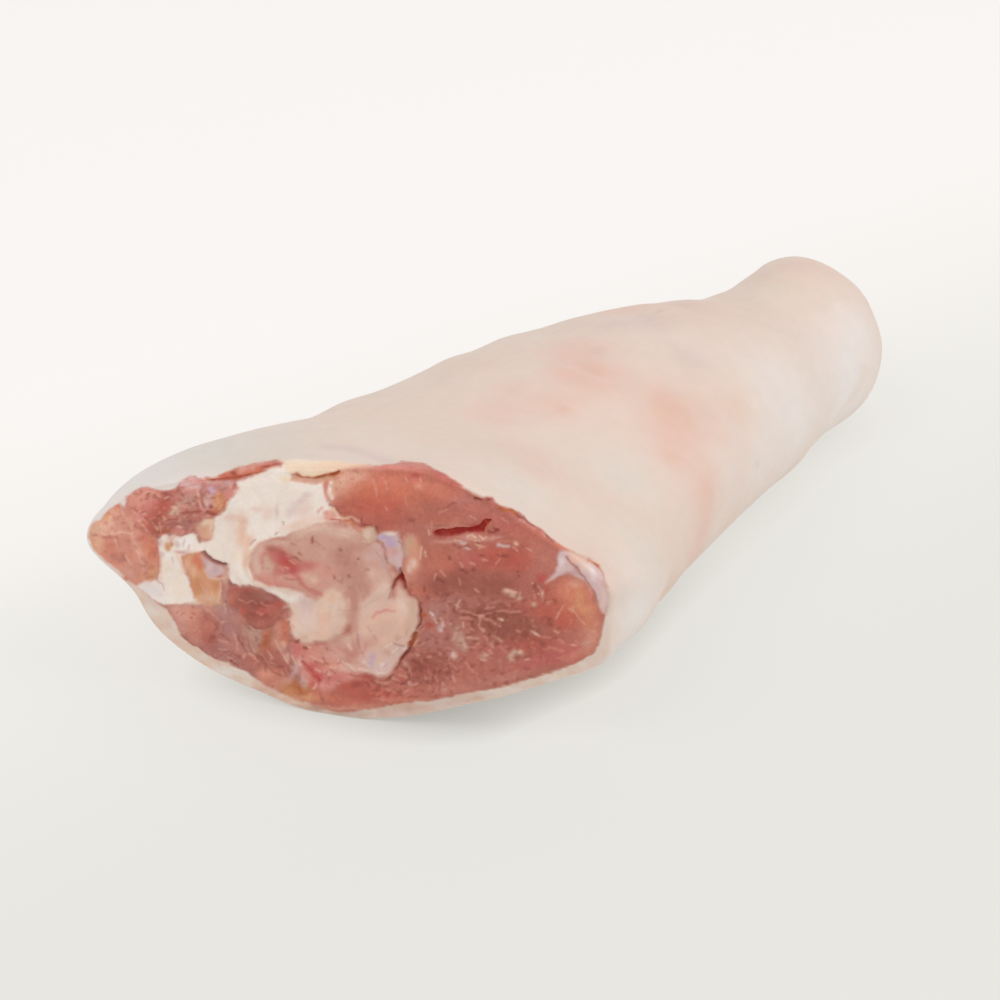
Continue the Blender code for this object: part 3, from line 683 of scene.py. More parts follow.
# The tissues of the knee cut, drawn from the first layer to the last.
CUT_LAYERS = (
    # the large muscle at the right and the orange one above it
    dab("orange", 0.9, "384,490,50,24"),
    dab("salmon", 0.9, "344,476,22,10,20 352,470,22,5"),
    dab("salmon", 0.9, "336,492,8,12,-20 342,488,14,8 352,478,18,9"),
    dab("peach", 0.55, "334,489,5,9,-20 350,476,16,6 344,484,6,5"),
    dab("pink", 0.7, "398,467,36,4"),
    dab("red", 0.55, "364,509,26,8 390,507,14,10 386,522,22,8 375,500,20,10"),
    dab("orange", 0.5, "372,492,20,10"),
    dab("rose", 0.5, "448,479,16,6,-35 416,476,8,4"),
    dab("orange", 0.35, "440,492,26,10"),
    dab("muscle", 0.7, "478,508,26,10,-10 460,512,30,8"),
    dab("grey", 0.4, "466,500,18,6 520,516,18,6,-30"),
    dab("dark", 0.3, "410,520,22,10"),
    dab("orange", 0.3, "528,534,22,10,-20 440,520,20,6"),
    dab("pale", 0.35, "444,526,24,3 540,560,14,14"),
    dab("red", 0.7, "500,552,26,9 492,562,22,9 520,562,14,10"),
    dab("rose", 0.45, "470,560,20,9 455,575,14,12 510,525,26,6,-15"),
    dab("dark", 0.9, "470,582,30,13 500,586,20,10 440,584,12,13"),
    dab("brown", 0.5, "458,580,16,10 490,590,16,11 474,592,14,8"),
    dab("muscle", 0.5, "545,565,12,12 545,545,12,6"),
    dab("orange", 0.45, "440,560,16,14 418,592,12,8"),
    dab("grey", 0.5, "450,604,24,8 470,602,26,6 440,616,14,10"),
    dab("mauve", 0.5, "436,612,12,8 455,630,10,14 430,640,14,10"),
    dab("brown", 0.95, "505,622,34,12 520,632,26,12 485,612,24,7"),
    dab("red", 0.6, "545,608,24,10 560,618,18,10 530,645,24,10"),
    dab("rose", 0.7, "556,656,18,9 535,662,22,6,10 570,652,12,8"),
    dab("rose", 0.4, "480,650,30,8 520,668,18,6"),
    dab("grey", 0.5, "462,644,14,12 440,650,18,14"),
    dab("dark", 0.8, "430,672,20,12 440,664,16,10 420,665,14,8"),
    dab("muscle", 0.6, "492,670,24,10 470,684,24,6"),
    dab("pale", 0.3, "500,678,34,5,12 455,690,30,4"),
    dab("red", 0.8, "372,694,30,8 350,684,16,7 392,698,22,5 362,680,20,7"),
    dab("muscle", 0.5, "410,690,20,8"),
    dab("salmon", 0.5, "360,706,26,3 400,700,28,3"),
    dab("orange", 0.6, "340,700,20,4,-8 320,696,14,5"),
    dab("orange", 0.5, "566,600,14,15 578,612,16,15 580,590,12,10"),
    dab("amber", 0.5, "580,600,9,15 590,620,9,14"),
    dab("salmon", 0.5, "592,642,9,12 597,628,6,12 576,654,14,4,25"),
    dab("red", 0.35, "566,624,14,8"),
    # lower left muscles
    fill("grey", 3, """158,604 168,603 186,604 203,606 216,600 226,590 244,586 262,590 289,604
        292,620 291,640 300,662 312,690 300,706 285,700 262,688 225,664 195,645
        172,622""", 0.0, "muscle"),
    dab("grey", 0.8, "167,610,6,8,-40"),
    dab("pale", 0.9, "180,614,11,10,-40 190,612,12,7,-30"),
    dab("pale", 0.6, "184,626,8,8,-45 176,610,8,4"),
    dab("salmon", 0.75, "194,622,8,14,-20 196,634,6,8 193,612,10,6"),
    dab("muscle", 0.8, "210,624,9,16 212,638,10,10"),
    dab("dark", 0.35, "213,634,7,9 216,645,8,6,-40"),
    dab("red", 0.25, "208,630,10,14"),
    dab("mauve", 0.8, "228,628,9,12 224,612,7,8 226,646,9,8,-20"),
    dab("tan", 0.45, "208,604,12,5 216,607,8,5 200,602,10,3"),
    dab("salmon", 0.4, "214,610,10,3,-25"),
    dab("grey", 0.7, "236,650,8,14,-30 232,640,6,10,-20"),
    dab("tan", 0.55, "254,640,7,12,-35 248,630,8,6,-40 258,652,6,9,-35"),
    dab("muscle", 0.6, "250,662,8,8 262,660,6,10,-20"),
    dab("dark", 0.5, "254,668,6,4 248,658,6,4 262,660,5,9,-20"),
    dab("rust", 0.75, "266,641,5,11,-25 270,650,3,6"),
    dab("orange", 0.5, "266,634,4,6"),
    dab("salmon", 0.7, "280,632,8,8 276,645,6,8 278,622,5,8"),
    dab("orange", 0.8, "285,628,4,13 284,640,4,7"),
    dab("muscle", 0.9, "280,662,12,9,-40 270,655,8,6,-40"),
    dab("dark", 0.4, "286,668,8,5,-30 275,664,8,3,-40"),
    dab("orange", 0.5, "274,676,12,9,-40 266,682,9,6,-45"),
    dab("salmon", 0.6, "279,684,11,8,-35 268,672,7,5 262,676,5,7"),
    dab("butter", 0.45, "283,645,3,6 287,657,3,4"),
    dab("ochre", 0.9, "300,690,12,9 290,690,8,8"),
    dab("rust", 0.45, "296,684,5,5 304,693,7,3 299,690,3,5"),
    dab("amber", 0.8, "290,698,12,4,-25 310,699,12,4"),
    dab("peach", 0.4, "312,683,5,4 287,681,5,4"),
    line("pale", 0.7, 2, """204,607 212,612 219,619 223,623; 233,632 236,640 238,650; 243,633
        249,643 256,654; 219,639 228,642; 220,648 227,650; 228,658 234,662"""),
    line("peach", 0.5, 1.8, """244,657 249,653 254,655 258,662; 240,611 242,618 247,625 254,629
        261,631; 262,655 268,662 276,666; 268,652 272,659; 276,640 280,650 286,660 292,668; 222,622
        226,621"""),
    line("deep", 0.45, 1.8, """238,636 243,646 248,655; 246,638 252,650 258,658; 262,656 272,665
        282,668; 232,652 240,658; 266,664 276,674 286,676; 222,634 230,640; 205,617 214,622
        219,628"""),
    line("deep", 0.5, 1.8, """161,606 165,613 169,621 175,629 183,637 191,643 199,648 208,654
        218,659; 230,662 238,666; 256,654 262,658 266,668; 240,613 244,622 250,628"""),
    line("salmon", 0.6, 2.2, "168,606 173,614 181,626; 252,655 257,660; 282,673 288,680"),
    fill("dark", 2.2, """225,592 231,588 240,586 250,585 259,587 268,592 278,598 288,602 289,606
        284,609 281,613 276,620 270,627 262,629 256,628 250,624 244,618 240,610 234,606
        228,600""", 0.5, "muscle"),
    dab("muscle", 0.8, "232,598,6,7 276,610,8,6 238,592,5,4"),
    dab("orange", 0.5, "284,604,5,3,-20 230,600,4,5"),
    dab("red", 0.8, "264,612,7,5 243,610,4,4 252,590,12,3 276,604,6,3"),
    dab("brown", 0.6, "250,593,9,4 256,602,9,4 243,604,4,5"),
    dab("deep", 0.35, "247,592,5,2 258,606,5,2 266,616,4,2"),
    dab("grey", 0.7, "268,596,8,4,-25 262,590,8,2.5,-20"),
    dab("rose", 0.5, "266,610,8,5 272,606,6,6"),
    dab("muscle", 0.8, "274,617,6,7 262,622,8,4"),
    dab("clot", 0.4, "262,604,8,2,-15 251,615,6,3 268,602,6,1.5"),
    line("salmon", 0.6, 1.6, "240,599 247,602 254,600 258,603; 262,601 268,606; 258,612 263,614"),
    line("clot", 0.5, 1.8, """230,579 234,584 240,586 250,585 258,587 266,592 275,597 284,601
        290,603""", -0.5),
    dab("violet", 0.6, "233,583,3.5,2.5"),
    dab("mauve", 0.8, "225,598,4,9 222,612,6,8"),
    # the tip muscle and the one above it
    fill("salmon", 3, """76,537 88,518 102,506 120,498 125,509 131,518 138,527 146,533 157,536
        158,548 158,562 157,580 147,582 134,588 110,575 88,555""", 0.0, "muscle"),
    dab("amber", 0.8, "94,535,6,8 98,544,6,9,-35 106,516,8,4,30"),
    dab("orange", 0.45, "103,550,6,9,-35 112,560,7,6,-45"),
    dab("muscle", 0.4, "113,543,8,7 119,557,8,6,-30 125,541,7,7 128,551,5,8"),
    dab("grey", 0.5, "114,556,4,3 122,560,5,3"),
    dab("peach", 0.5, "107,525,8,6 118,517,7,7 101,530,7,4"),
    dab("pale", 0.6, "130,570,9,8,-30 124,528,8,7"),
    dab("orange", 0.75, "146,543,6,8 152,553,4,11"),
    dab("salmon", 0.4, "143,544,3,7,-15 150,564,5,6"),
    dab("red", 0.35, "140,538,7,3 156,547,2,8"),
    dab("amber", 0.8, "149,577,9,4 153,571,5,5"),
    dab("pink", 0.4, "138,565,4,8,-20 131,518,4,5 134,525,4,6"),
    line("peach", 0.65, 2, """111,508 110,520 112,532 117,544 124,556 131,565; 129,514 131,525
        133,540 137,552 142,563; 98,531 108,535 120,533 133,534; 120,505 122,512 126,518"""),
    line("pale", 0.8, 3, "134,536 137,548 141,560 143,572"),
    line("peach", 0.6, 1.6, "131,517 134,521 133,527; 126,520 129,526; 137,520 140,527"),
    line("dark", 0.45, 2, """104,537 112,536 118,538; 118,543 121,552 126,562; 128,526 131,531;
        138,520 141,528"""),
    fill("pink", 3, """124,510 126,501 129,496 134,492 141,488 149,487 156,491 165,491 173,489
        179,485 182,480 187,477 193,476 199,479 205,477 212,481 222,482 233,485 237,491 233,496
        229,501 226,508 220,513 212,517 204,520 198,523 192,529 188,533 180,535 170,532 158,534
        148,533 142,528 134,521 129,515""", 0.3, "muscle"),
    dab("salmon", 0.9, "145,496,13,5 138,504,9,6 133,512,6,4"),
    dab("rose", 0.3, "139,506,4,4 148,507,8,6"),
    dab("muscle", 0.8, "168,500,12,9 163,512,12,8 178,492,10,4"),
    dab("red", 0.8, "154,518,8,7,-30 163,507,8,8 150,528,8,4"),
    dab("deep", 0.4, "168,494,5,3 155,522,5,4,-40 160,517,3,3"),
    dab("dark", 0.8, "170,526,7,6 192,513,14,3.5 180,522,7,4"),
    dab("rust", 0.5, "166,530,5,3 156,530,5,2.5 143,522,3,3"),
    dab("grey", 0.9, "190,499,10,8 187,522,9,6"),
    dab("muscle", 0.6, "198,517,7,4,20 185,509,10,2"),
    dab("tan", 0.4, "190,499,9,7"),
    dab("tan", 0.8, "176,510,5,4 178,505,3,3 172,512,4,2"),
    dab("lilac", 0.7, "192,480,5,2.5 196,486,9,3 186,484,6,3"),
    dab("mauve", 0.8, "208,500,5,9 204,490,4,8 222,487,8,4"),
    dab("lilac", 0.7, "214,481,9,2 229,482,6,3 209,502,3,5"),
    dab("pink", 0.6, "232,492,4,4 200,497,2,8"),
    dab("ochre", 0.9, "220,503,5,8 222,496,3,5 217,498,3,5"),
    dab("rust", 0.6, "226,502,2,5 217,509,4,3"),
    dab("lavender", 0.9, "213,490,2.5,5"),
    dab("clot", 0.8, "214,513,5,2.5 208,511,4,1.6 211,506,2,2"),
    line("peach", 0.7, 1.6, """198,490 199,498 200,506; 150,518 153,523 157,528; 160,522 161,530;
        140,519 144,527 148,532; 163,516 166,522; 172,506 176,508 179,505; 205,496 206,504; 170,496
        166,499; 176,513 182,511; 178,526 186,527"""),
    line("deep", 0.5, 1.8, """180,512 188,511 198,511; 182,490 183,496; 202,492 203,500 205,507;
        146,516 151,520; 162,524 168,519 176,518; 152,533 158,532 165,531; 166,493 172,496"""),
    line("peach", 0.5, 3, "232,486 236,490; 229,502 227,507"),
    line("deep", 0.4, 1.6, "178,534 186,535 190,533; 169,533 173,533"),
    fill("orange", 1.6, """206,480 212,477 220,473 228,470 236,466 246,464 258,462 270,459 282,459
        280,463 277,467 270,468 262,471 255,474 248,476 240,478 232,480 222,480
        212,481""", -0.5, "muscle"),
    # The clot dabs and the rust lines darken this strip under the rind's overhanging rim: partly its own
    # dark red, partly painted shade.
    dab("clot", 0.7, "234,473,4,3 276,464,3,3 266,466,5,1.6"),
    dab("red", 0.6, "224,476,6,2 262,468,8,2 272,463,6,2"),
    dab("pale", 0.7, "243,470,4,4 213,477,4,2 252,468,4,2"),
    line("rust", 0.6, 1.6, "248,475 256,473 264,470 270,467; 222,473 230,470 238,467; 206,479 214,480"),
    # white gristle and fat round the joint
    fill("white", 2.5, """224,511 228,504 231,498 236,493 239,488 236,483 240,480 248,477 256,474
        264,471 272,468 280,466 284,462 292,470 294,480 305,483 322,482 325,492 329,501 336,509
        341,518 338,522 328,522 312,524 300,530 285,536 270,539 258,545 251,553 250,566 254,578
        268,585 290,589 302,592 312,600 302,642 294,637 291,625 292,606 283,600 268,592 258,587
        250,585 240,586 234,583 230,577 229,568 224,564 216,560 208,556 203,550 204,543 211,539
        214,532 213,521 218,515""", 0.2, "fat"),
    dab("fat", 0.5, "232,532,8,12 226,575,4,14 244,514,10,5"),
    dab("peach", 0.9, "242,532,5,16 250,544,5,10 246,560,4,10"),
    dab("pink", 0.25, "232,518,8,4 246,520,5,4 268,514,4,6 258,508,6,3"),
    dab("butter", 0.5, "238,528,4,10 287,479,5,3 236,556,5,6"),
    dab("pink", 0.2, "305,512,8,10,-30 238,488,4,5"),
    dab("fat", 0.6, "304,524,16,6,10 290,528,12,4,15 270,510,10,8"),
    dab("peach", 0.45, "300,524,14,4,15 322,518,10,4"),
    # The lilac dab paints faint shading lines across the white gristle: painted shade.
    dab("lilac", 0.45, "300,501,9,4,25 292,512,7,4,35 277,510,2,8 308,494,5,3"),
    dab("white", 0.8, "321,498,4,8 300,488,10,3 262,490,12,8"),
    dab("salmon", 0.85, "333,514,6,5,-30 326,512,3,3"),
    dab("pink", 0.7, "328,518,5,3,-20"),
    line("crimson", 0.7, 1.8, "331,519 336,520 342,521"),
    line("pink", 0.6, 2, "324,482 326,490 330,499; 318,512 323,506"),
    line("peach", 0.9, 2.6, "332,507 337,512 342,518"),
    line("white", 0.9, 3.2, "331,481 330,490 332,498"),
    line("violet", 0.35, 1.5, "283,521 284,524; 276,534 278,532; 255,540 252,545", -0.2),
    line("white", 0.9, 2, "258,540 254,545 250,549"),
    line("peach", 0.4, 3, "247,558 247,574 256,583 272,587"),
    line("lilac", 0.5, 2, "262,587 270,590; 300,596 300,610"),
    dab("tan", 0.3, "272,588,18,2.5,-12 290,593,10,3,-10"),
    line("clot", 0.6, 1.6, """330,504 335,507 341,514; 350,519 355,525 361,527; 361,517 362,523
        368,524 376,527 379,533""", -0.4),
    line("salmon", 0.9, 4, "343,521 352,524 360,528 366,530"),
    line("peach", 0.8, 2.4, "342,519 350,518 358,521; 350,527 358,532 364,534"),
    dab("rust", 0.5, "346,521,3,1.4 353,524,4,1.6,-30"),
    # left fat, the amber band and the small patches beside them
    fill("white", 2.2, """136,586 146,582 158,580 160,566 159,550 158,538 164,534 172,533 182,536
        188,533 194,531 198,536 202,541 206,542 205,550 198,553 188,553 182,556 184,566 188,576
        191,586 196,596 204,604 185,604 165,605 152,600""", 0.4, "fat"),
    dab("mist", 0.9, "151,591,10,7 147,586,6,4 160,592,4,6"),
    dab("butter", 0.3, "180,586,8,14 166,566,6,8"),
    # The rind cool dabs are painted highlights, glints on the wet fat; the lilac dabs beside them are
    # partly its own tint, partly painted shade.
    dab("rind cool", 0.8, "187,540,8,5 183,547,4,3 166,554,4,5"),
    dab("lilac", 0.8, "160,541,3,5 178,543,3,4 183,551,8,2 162,554,3,3"),
    dab("pink", 0.5, "172,537,4,3 181,552,6,1.6"),
    dab("ochre", 0.85, "168,546,3,4 172,543,2,3"),
    dab("deep", 0.5, "158,537,2.5,1.4 200,539,1.4,3.5 170,534,2,1.6"),
    # The lilac lines are partly the fat's own tint, partly painted shade beside its glints.
    line("lilac", 0.8, 1.6, "158,581 163,583 166,589; 172,557 174,563; 186,538 184,545; 190,545 190,549"),
    line("peach", 0.5, 2, "161,552 161,566 162,578; 176,553 181,562 186,572"),
    line("tan", 0.6, 1.6, "204,601 196,602 186,603; 193,586 197,595"),
    fill("amber", 2.5, """182,556 190,552 200,551 203,558 205,566 210,572 219,578 221,590 221,603
        210,606 200,603 196,598 193,590 190,578 186,568""", 0.2, "fat"),
    dab("orange", 0.85, "196,559,5,5 200,564,3,5"),
    dab("ochre", 0.75, "200,587,6,8 196,582,4,6 216,584,4,4"),
    dab("peach", 0.6, "187,564,4,8,-30 193,572,4,6 211,598,8,5"),
    dab("tan", 0.4, "214,600,7,4 204,597,4,4"),
    line("peach", 0.8, 2.6, "206,570 210,576 218,579 224,578; 221,582 220,594 218,602"),
    line("peach", 0.5, 1.4, "200,583 203,590 208,592; 211,591 214,597; 206,597 210,602; 224,604 226,612"),
    fill("lilac", 2, "202,555 208,560 214,563 222,566 225,572 219,576 211,577 206,570", 0.0, "fat"),
    dab("grey", 0.2, "214,568,5,4,-20 206,562,3,5"),
    dab("mist", 0.3, "210,567,4,4"),
    line("violet", 0.85, 2.5, "205,552 208,557 213,560 219,563 227,565", -0.5),
    dab("deep", 0.8, "224,564,4,1.8"),
    fill("peach", 3, "196,527 203,521 212,520 214,529 213,538 204,540 199,537", 0.0, "fat"),
    dab("amber", 0.6, "206,532,6,6"),
    dab("butter", 0.7, "206,523,7,3 211,528,2,6"),
    dab("pale", 0.6, "199,530,3,5"),
    dab("peach", 0.5, "209,532,4,5"),
    line("deep", 0.6, 1.5, "198,536 199,540 200,542"),
    # the fold of fat under the rind at the top
    fill("butter", 3.5, """280,458 290,455 310,455 340,456 360,459 368,465 352,467 340,470 328,473
        314,476 304,476 298,473 293,474 288,470""", 0.4, "fat"),
    dab("peach", 0.35, "330,467,22,4 350,464,14,4"),
    dab("rind white", 0.7, "300,459,16,4 325,457,30,3"),
    fill("peach", 1.4, """293,474 298,477 306,479 313,478 321,476 330,474 339,471 336,475 330,479
        322,482 308,482 298,482 291,481""", -0.7, "fat"),
    # The rust dabs and line darken the gap under the fold: partly its own colour, partly painted shade.
    dab("rust", 0.95, "319,476,5,2 333,474,6,2.4,10"),
    line("rust", 0.85, 2, "297,476 304,478 312,478 322,476 338,471", -0.3),
    dab("amber", 0.5, "297,479,4,2 326,479,7,2"),
    dab("peach", 0.7, "312,481,9,1.6"),
    dab("butter", 0.7, "285,478,6,3"),
    # bone
    fill("bone", 4.5, """251,556 257,546 266,541 285,538 298,531 312,526 330,525 348,527 362,534
        372,540 383,542 386,556 392,567 397,577 391,590 384,594 370,592 362,604 358,630 350,632
        348,608 345,594 334,588 322,597 308,594 290,588 270,584 256,576""", 0.0, "bone"),
    dab("cream", 0.6, "318,527,24,5,5 345,533,18,5 300,534,14,4,12 275,543,14,3"),
    dab("umber", 0.6, "354,548,12,6 346,560,14,8 340,553,8,5"),
    dab("umber", 0.4, "358,574,10,12 345,572,12,10 364,586,10,8"),
    dab("lilac", 0.4, "376,550,8,8 384,562,5,10 368,558,5,5"),
    dab("lump", 0.7, "380,578,10,8 386,588,8,5 372,572,4,5"),
    dab("pink", 0.4, "325,572,12,8 308,566,12,5 318,586,8,5"),
    dab("umber", 0.5, "355,606,4,20 353,595,6,10"),
    # The cream dabs lighten the bone's left edge against the shade the relief casts there: partly its
    # pale rim, partly painted light.
    dab("cream", 0.5, "254,558,5,9 256,570,5,9 262,548,6,4"),
    dab("pink", 0.7, "268,579,9,4,-15 264,560,4,8 282,584,12,3,-8 292,576,6,4"),
    dab("marrow", 0.7, "279,557,14,9,-35 290,566,12,7,-30"),
    dab("crimson", 0.6, "286,562,8,5,-40 294,569,6,4,-30"),
    dab("clot", 0.3, "272,549,6,3,-20 282,554,5,2,-40 296,558,5,2,-30 286,573,4,2"),
    dab("marrow", 0.5, "306,565,10,4 278,572,7,5"),
    dab("tan", 0.8, "269,566,5,6 267,560,3,4"),
    dab("umber", 0.6, "262,562,2,3 268,569,2,1.6 263,568,2,2 276,568,2,2"),
    # The peach strokes in the marrow are painted highlights, glints on its wet surface.
    line("peach", 0.55, 1.3, """287,556 291,557; 284,566 289,569; 290,561 295,564; 280,567 284,571;
        282,578 287,579"""),
    line("clot", 0.35, 1.6, """283,552 289,556 296,559 301,562; 283,578 290,580 298,579; 291,572
        296,575; 299,553 302,556"""),
    dab("tan", 0.6, "312,578,5,5"),
    dab("peach", 0.6, "314,579,4,4 305,575,5,3"),
    line("marrow", 0.5, 4, "299,577 303,584 309,589 317,592 322,594"),
    line("umber", 0.8, 1.8, """313,537 313,543; 316,541 320,545; 292,544 296,546; 340,549 342,551;
        339,555 341,557; 346,561 347,565; 357,559 360,560; 355,563 357,566; 333,576 334,580; 342,579
        341,583; 366,569 369,570; 327,567 329,569; 360,584 361,587; 322,548 324,550; 350,586
        351,589; 364,596 365,600; 337,581 339,582""", -0.1),
    dab("deep", 0.5, "349,575,1.6,2 313,540,1.6,3 359,559,1.4,1.2 341,550,1.4,1.4 334,578,1.2,2"),
    line("violet", 0.45, 1.8, "376,541 382,544 385,550 386,558; 386,558 388,562"),
    # cream fat below the bone
    fill("cream", 4.5, """298,598 304,594 316,598 323,595 328,589 335,587 343,592 347,602 349,620
        344,632 336,640 326,642 316,641 312,645 303,644 300,639 295,630 291,620
        290,606""", 0.45, "fat"),
    dab("lilac", 0.5, "307,612,9,14 304,602,6,6"),
    dab("fat", 0.3, "306,620,8,10 300,606,5,6"),
    dab("salmon", 0.6, "291,612,3,2 293,626,3,2 297,637,4,2"),
    dab("cream", 0.7, "287,606,4,1.5 289,620,3,1.5 293,632,3,1.5"),
    dab("umber", 0.3, "306,636,3,2 318,640,4,1.6 336,634,3,3 344,612,2,4"),
    dab("peach", 0.8, "331,598,6,6 325,616,5,12"),
    dab("lump", 0.6, "341,610,4,14 336,628,6,6 330,612,2,10"),
    dab("peach", 0.5, "324,635,8,4 293,628,2.5,8"),
    dab("umber", 0.4, "322,641,8,1.8"),
    line("peach", 0.5, 2, "348,600 349,612"),
    dab("lump", 0.5, "319,614,2,14 312,632,8,3"),
    dab("rind white", 0.2, "327,604,4,6"),
    line("clot", 0.6, 1.6, "294,643 297,641 300,638; 303,646 307,648", -0.2),
    fill("lump", 4, """360,604 366,598 372,590 380,584 388,581 393,586 391,596 394,597 400,584
        405,590 411,596 417,599 421,606 420,620 418,630 413,638 409,648 403,656 398,664 392,672
        386,677 378,677 368,673 354,670 342,662 334,652 330,642 340,636 350,634
        357,630""", 0.5, "fat"),
    dab("cream", 0.4, "371,606,8,6 384,590,8,6 386,626,12,5"),
    dab("fat", 0.4, "402,610,7,10 400,602,5,5"),
    dab("tan", 0.7, "414,612,4,13 412,602,4,4 409,626,4,6"),
    dab("peach", 0.5, "380,620,14,6 396,634,8,4"),
    dab("bone", 0.3, "384,626,12,6 376,640,8,6"),
    dab("umber", 0.3, "388,652,5,3 398,636,3,3 372,656,4,2 408,632,2,4"),
    dab("bone", 0.75, "340,645,10,7 350,654,10,8 356,640,5,8"),
    dab("umber", 0.5, "352,654,6,5 357,648,4,5 346,660,7,3 336,638,6,3"),
    dab("lump", 0.7, "366,666,10,5 342,666,8,3"),
    dab("lilac", 0.7, "400,652,5,4 380,668,7,6 369,660,4,6 390,662,5,6"),
    dab("lavender", 0.6, "374,656,2.5,6 372,664,2.5,4"),
    # The white dabs are painted highlights, glints on the wet fat.
    dab("white", 0.5, "363,662,3,2 384,664,3,3 405,648,2,2"),
    line("pink", 0.85, 2.6, "373,616 378,612 385,610 392,610"),
    dab("umber", 0.6, "394,610,1.6,1.6"),
    line("violet", 0.35, 1.6, "394,643 398,645 404,646; 357,634 358,640 361,647", -0.2),
    dab("umber", 0.35, "344,648,7,1.6,-20 336,641,5,1.2 362,652,4,1.6 350,661,5,1.6 366,646,2,5"),
    dab("peach", 0.5, "374,646,5,2 354,667,8,1.6 366,632,3,6"),
    # lavender gristle and the tan column at the bone's upper right
    fill("lilac", 2.5, """377,538 383,532 392,530 400,535 404,545 405,557 403,567 399,573 395,566
        389,560 386,552 384,543""", 0.3, "fat"),
    dab("lavender", 0.95, "384,537,7,2.5 391,543,5,5"),
    dab("white", 0.7, "391,532,7,1.8"),
    dab("pink", 0.5, "394,552,5,4 388,550,2,6"),
    dab("tan", 0.5, "392,562,4,5"),
    line("violet", 0.45, 1.5, "399,540 403,546 405,554; 404,556 403,566"),
    fill("salmon", 5, """404,538 412,535 419,540 421,552 420,566 415,574 408,582 403,578 403,566
        405,556""", 0.0, "fat"),
    dab("tan", 0.7, "410,543,5,7 406,552,4,6"),
    dab("amber", 0.4, "414,548,5,8"),
    dab("cream", 0.9, "413,564,4,5 409,570,3,4"),
    dab("grey", 0.3, "409,575,4,4"),
    line("peach", 0.8, 1.8, "421,547 420,558; 425,551 426,557"),
    fill("tan", 1.8, "363,530 367,525 374,526 378,531 378,538 370,541 364,538", 0.4, "fat"),
    dab("cream", 0.7, "368,533,4,5"),
    line("peach", 0.8, 2, "363,540 370,541 376,540"),
    dab("deep", 0.5, "377,528,1.6,3 362,525,3,1.2"),
    line("violet", 0.9, 2, "400,569 401,576", -0.6),
    fill("blood", 1.2, "397,582 399,577 401,574 404,578 403,582 400,580", -0.8, "muscle"),
    line("clot", 0.95, 2, "399,577 396,582 394,588; 402,578 405,584 405,588", -0.6),
    line("violet", 0.35, 1.5, "394,588 391,593 389,598", -0.2),
    line("clot", 0.55, 1.8, "405,588 410,594 415,597 419,602 421,608", -0.4),
    line("clot", 0.9, 2, "421,610 420,620 417,628", -0.7),
    line("clot", 0.9, 2.6, "416,632 413,640 409,648 405,654 401,658", -0.8),
    line("clot", 0.6, 2, "401,658 400,664 398,669; 421,604 421,612", -0.4),
    dab("rust", 0.9, "415,637,2.4,5,-20 424,616,3,2.4 411,644,2,3"),
    line("peach", 0.6, 1.5, "418,640 414,646; 420,632 424,628"),
    # pink meat under the fat lumps
    fill("pink", 4, """290,644 296,641 301,644 312,645 330,644 338,655 350,668 372,674 366,678
        345,682 325,692 308,684 298,670""", 0.0, "muscle"),
    dab("rose", 0.5, "300,652,7,6 296,646,4,5"),
    dab("crimson", 0.6, "313,668,6,6,-40 318,675,6,4,-30 314,684,5,4,-30"),
    dab("salmon", 0.7, "318,652,10,5 330,664,10,5 306,658,5,6"),
    dab("lump", 0.6, "334,656,10,5 346,668,10,4 328,648,8,4"),
    dab("rose", 0.5, "335,678,14,4,5 322,664,5,3"),
    dab("lilac", 0.75, "297,668,4,10,-30 304,680,4,6"),
    dab("salmon", 0.6, "308,676,4,5"),
    dab("clot", 0.6, "298,641,3,2,30 306,648,3,2 317,661,2,1.6"),
    line("crimson", 0.8, 2.4, "303,662 309,668 315,675 320,680", -0.3),
    # The peach strokes are partly pale streaks in the meat, partly painted glints on its wet surface.
    line("peach", 0.8, 1.6, """300,661 302,667; 311,656 317,660 324,661; 306,645 312,647; 330,668
        336,667; 315,668 320,672; 324,672 331,676; 317,684 314,689; 292,656 296,664"""),
    line("deep", 0.5, 1.5, """322,658 328,664; 330,670 336,673; 338,681 342,682; 350,674 357,676;
        362,681 368,686"""),
    dab("clot", 0.5, "365,676,9,3 357,684,5,3"),
    # fat at the right tip
    fill("lilac", 2.5, """546,582 551,577 556,571 558,564 557,555 561,550 570,550 582,555 592,560
        599,566 602,573 605,583 609,592 610,602 606,614 602,612 599,604 596,596 592,588 586,581
        578,577 570,574 562,576 554,580""", 0.2, "fat"),
    dab("peach", 0.9, "577,557,8,4,-30 573,562,4,3"),
    dab("cream", 0.8, "584,566,6,6,-40 603,600,3,10"),
    # The rind cool dabs are painted highlights on the fat.
    dab("rind cool", 0.5, "592,573,3.5,8,20 563,561,3,5"),
    dab("lilac", 0.6, "566,568,6,6 590,584,3,6"),
    dab("grey", 0.35, "570,573,8,2.5 578,570,4,3,-40"),
    line("mauve", 0.8, 2, "566,556 573,563 580,572 588,581 593,590 597,603", -0.3),
    line("tan", 0.6, 1.6, "602,576 603,586 607,592 609,600"),
    dab("orange", 0.6, "566,590,14,10 582,596,10,12 590,612,9,12"),
    dab("amber", 0.6, "580,598,5,11 588,612,6,9"),
    dab("salmon", 0.4, "566,590,8,8 594,616,4,8"),
    dab("pink", 0.6, "590,592,3,8"),
    dab("red", 0.4, "568,618,12,6"),
    line("peach", 0.5, 1.8, """546,583 552,580; 570,609 576,614 578,619 584,625; 557,617 560,611
        564,606; 573,607 574,612"""),
    # slits, seams and flecks of the large muscle: the dark lines along the upper rim are partly painted
    # shade, and the pale strokes partly painted glints
    fill("blood", 1.2, """433,533 438,530 450,530 458,528 468,528 476,526 481,523 486,520 491,519
        489,524 485,528 483,532 476,533 468,533 460,535 452,537 440,537 435,536""", -0.9, "muscle"),
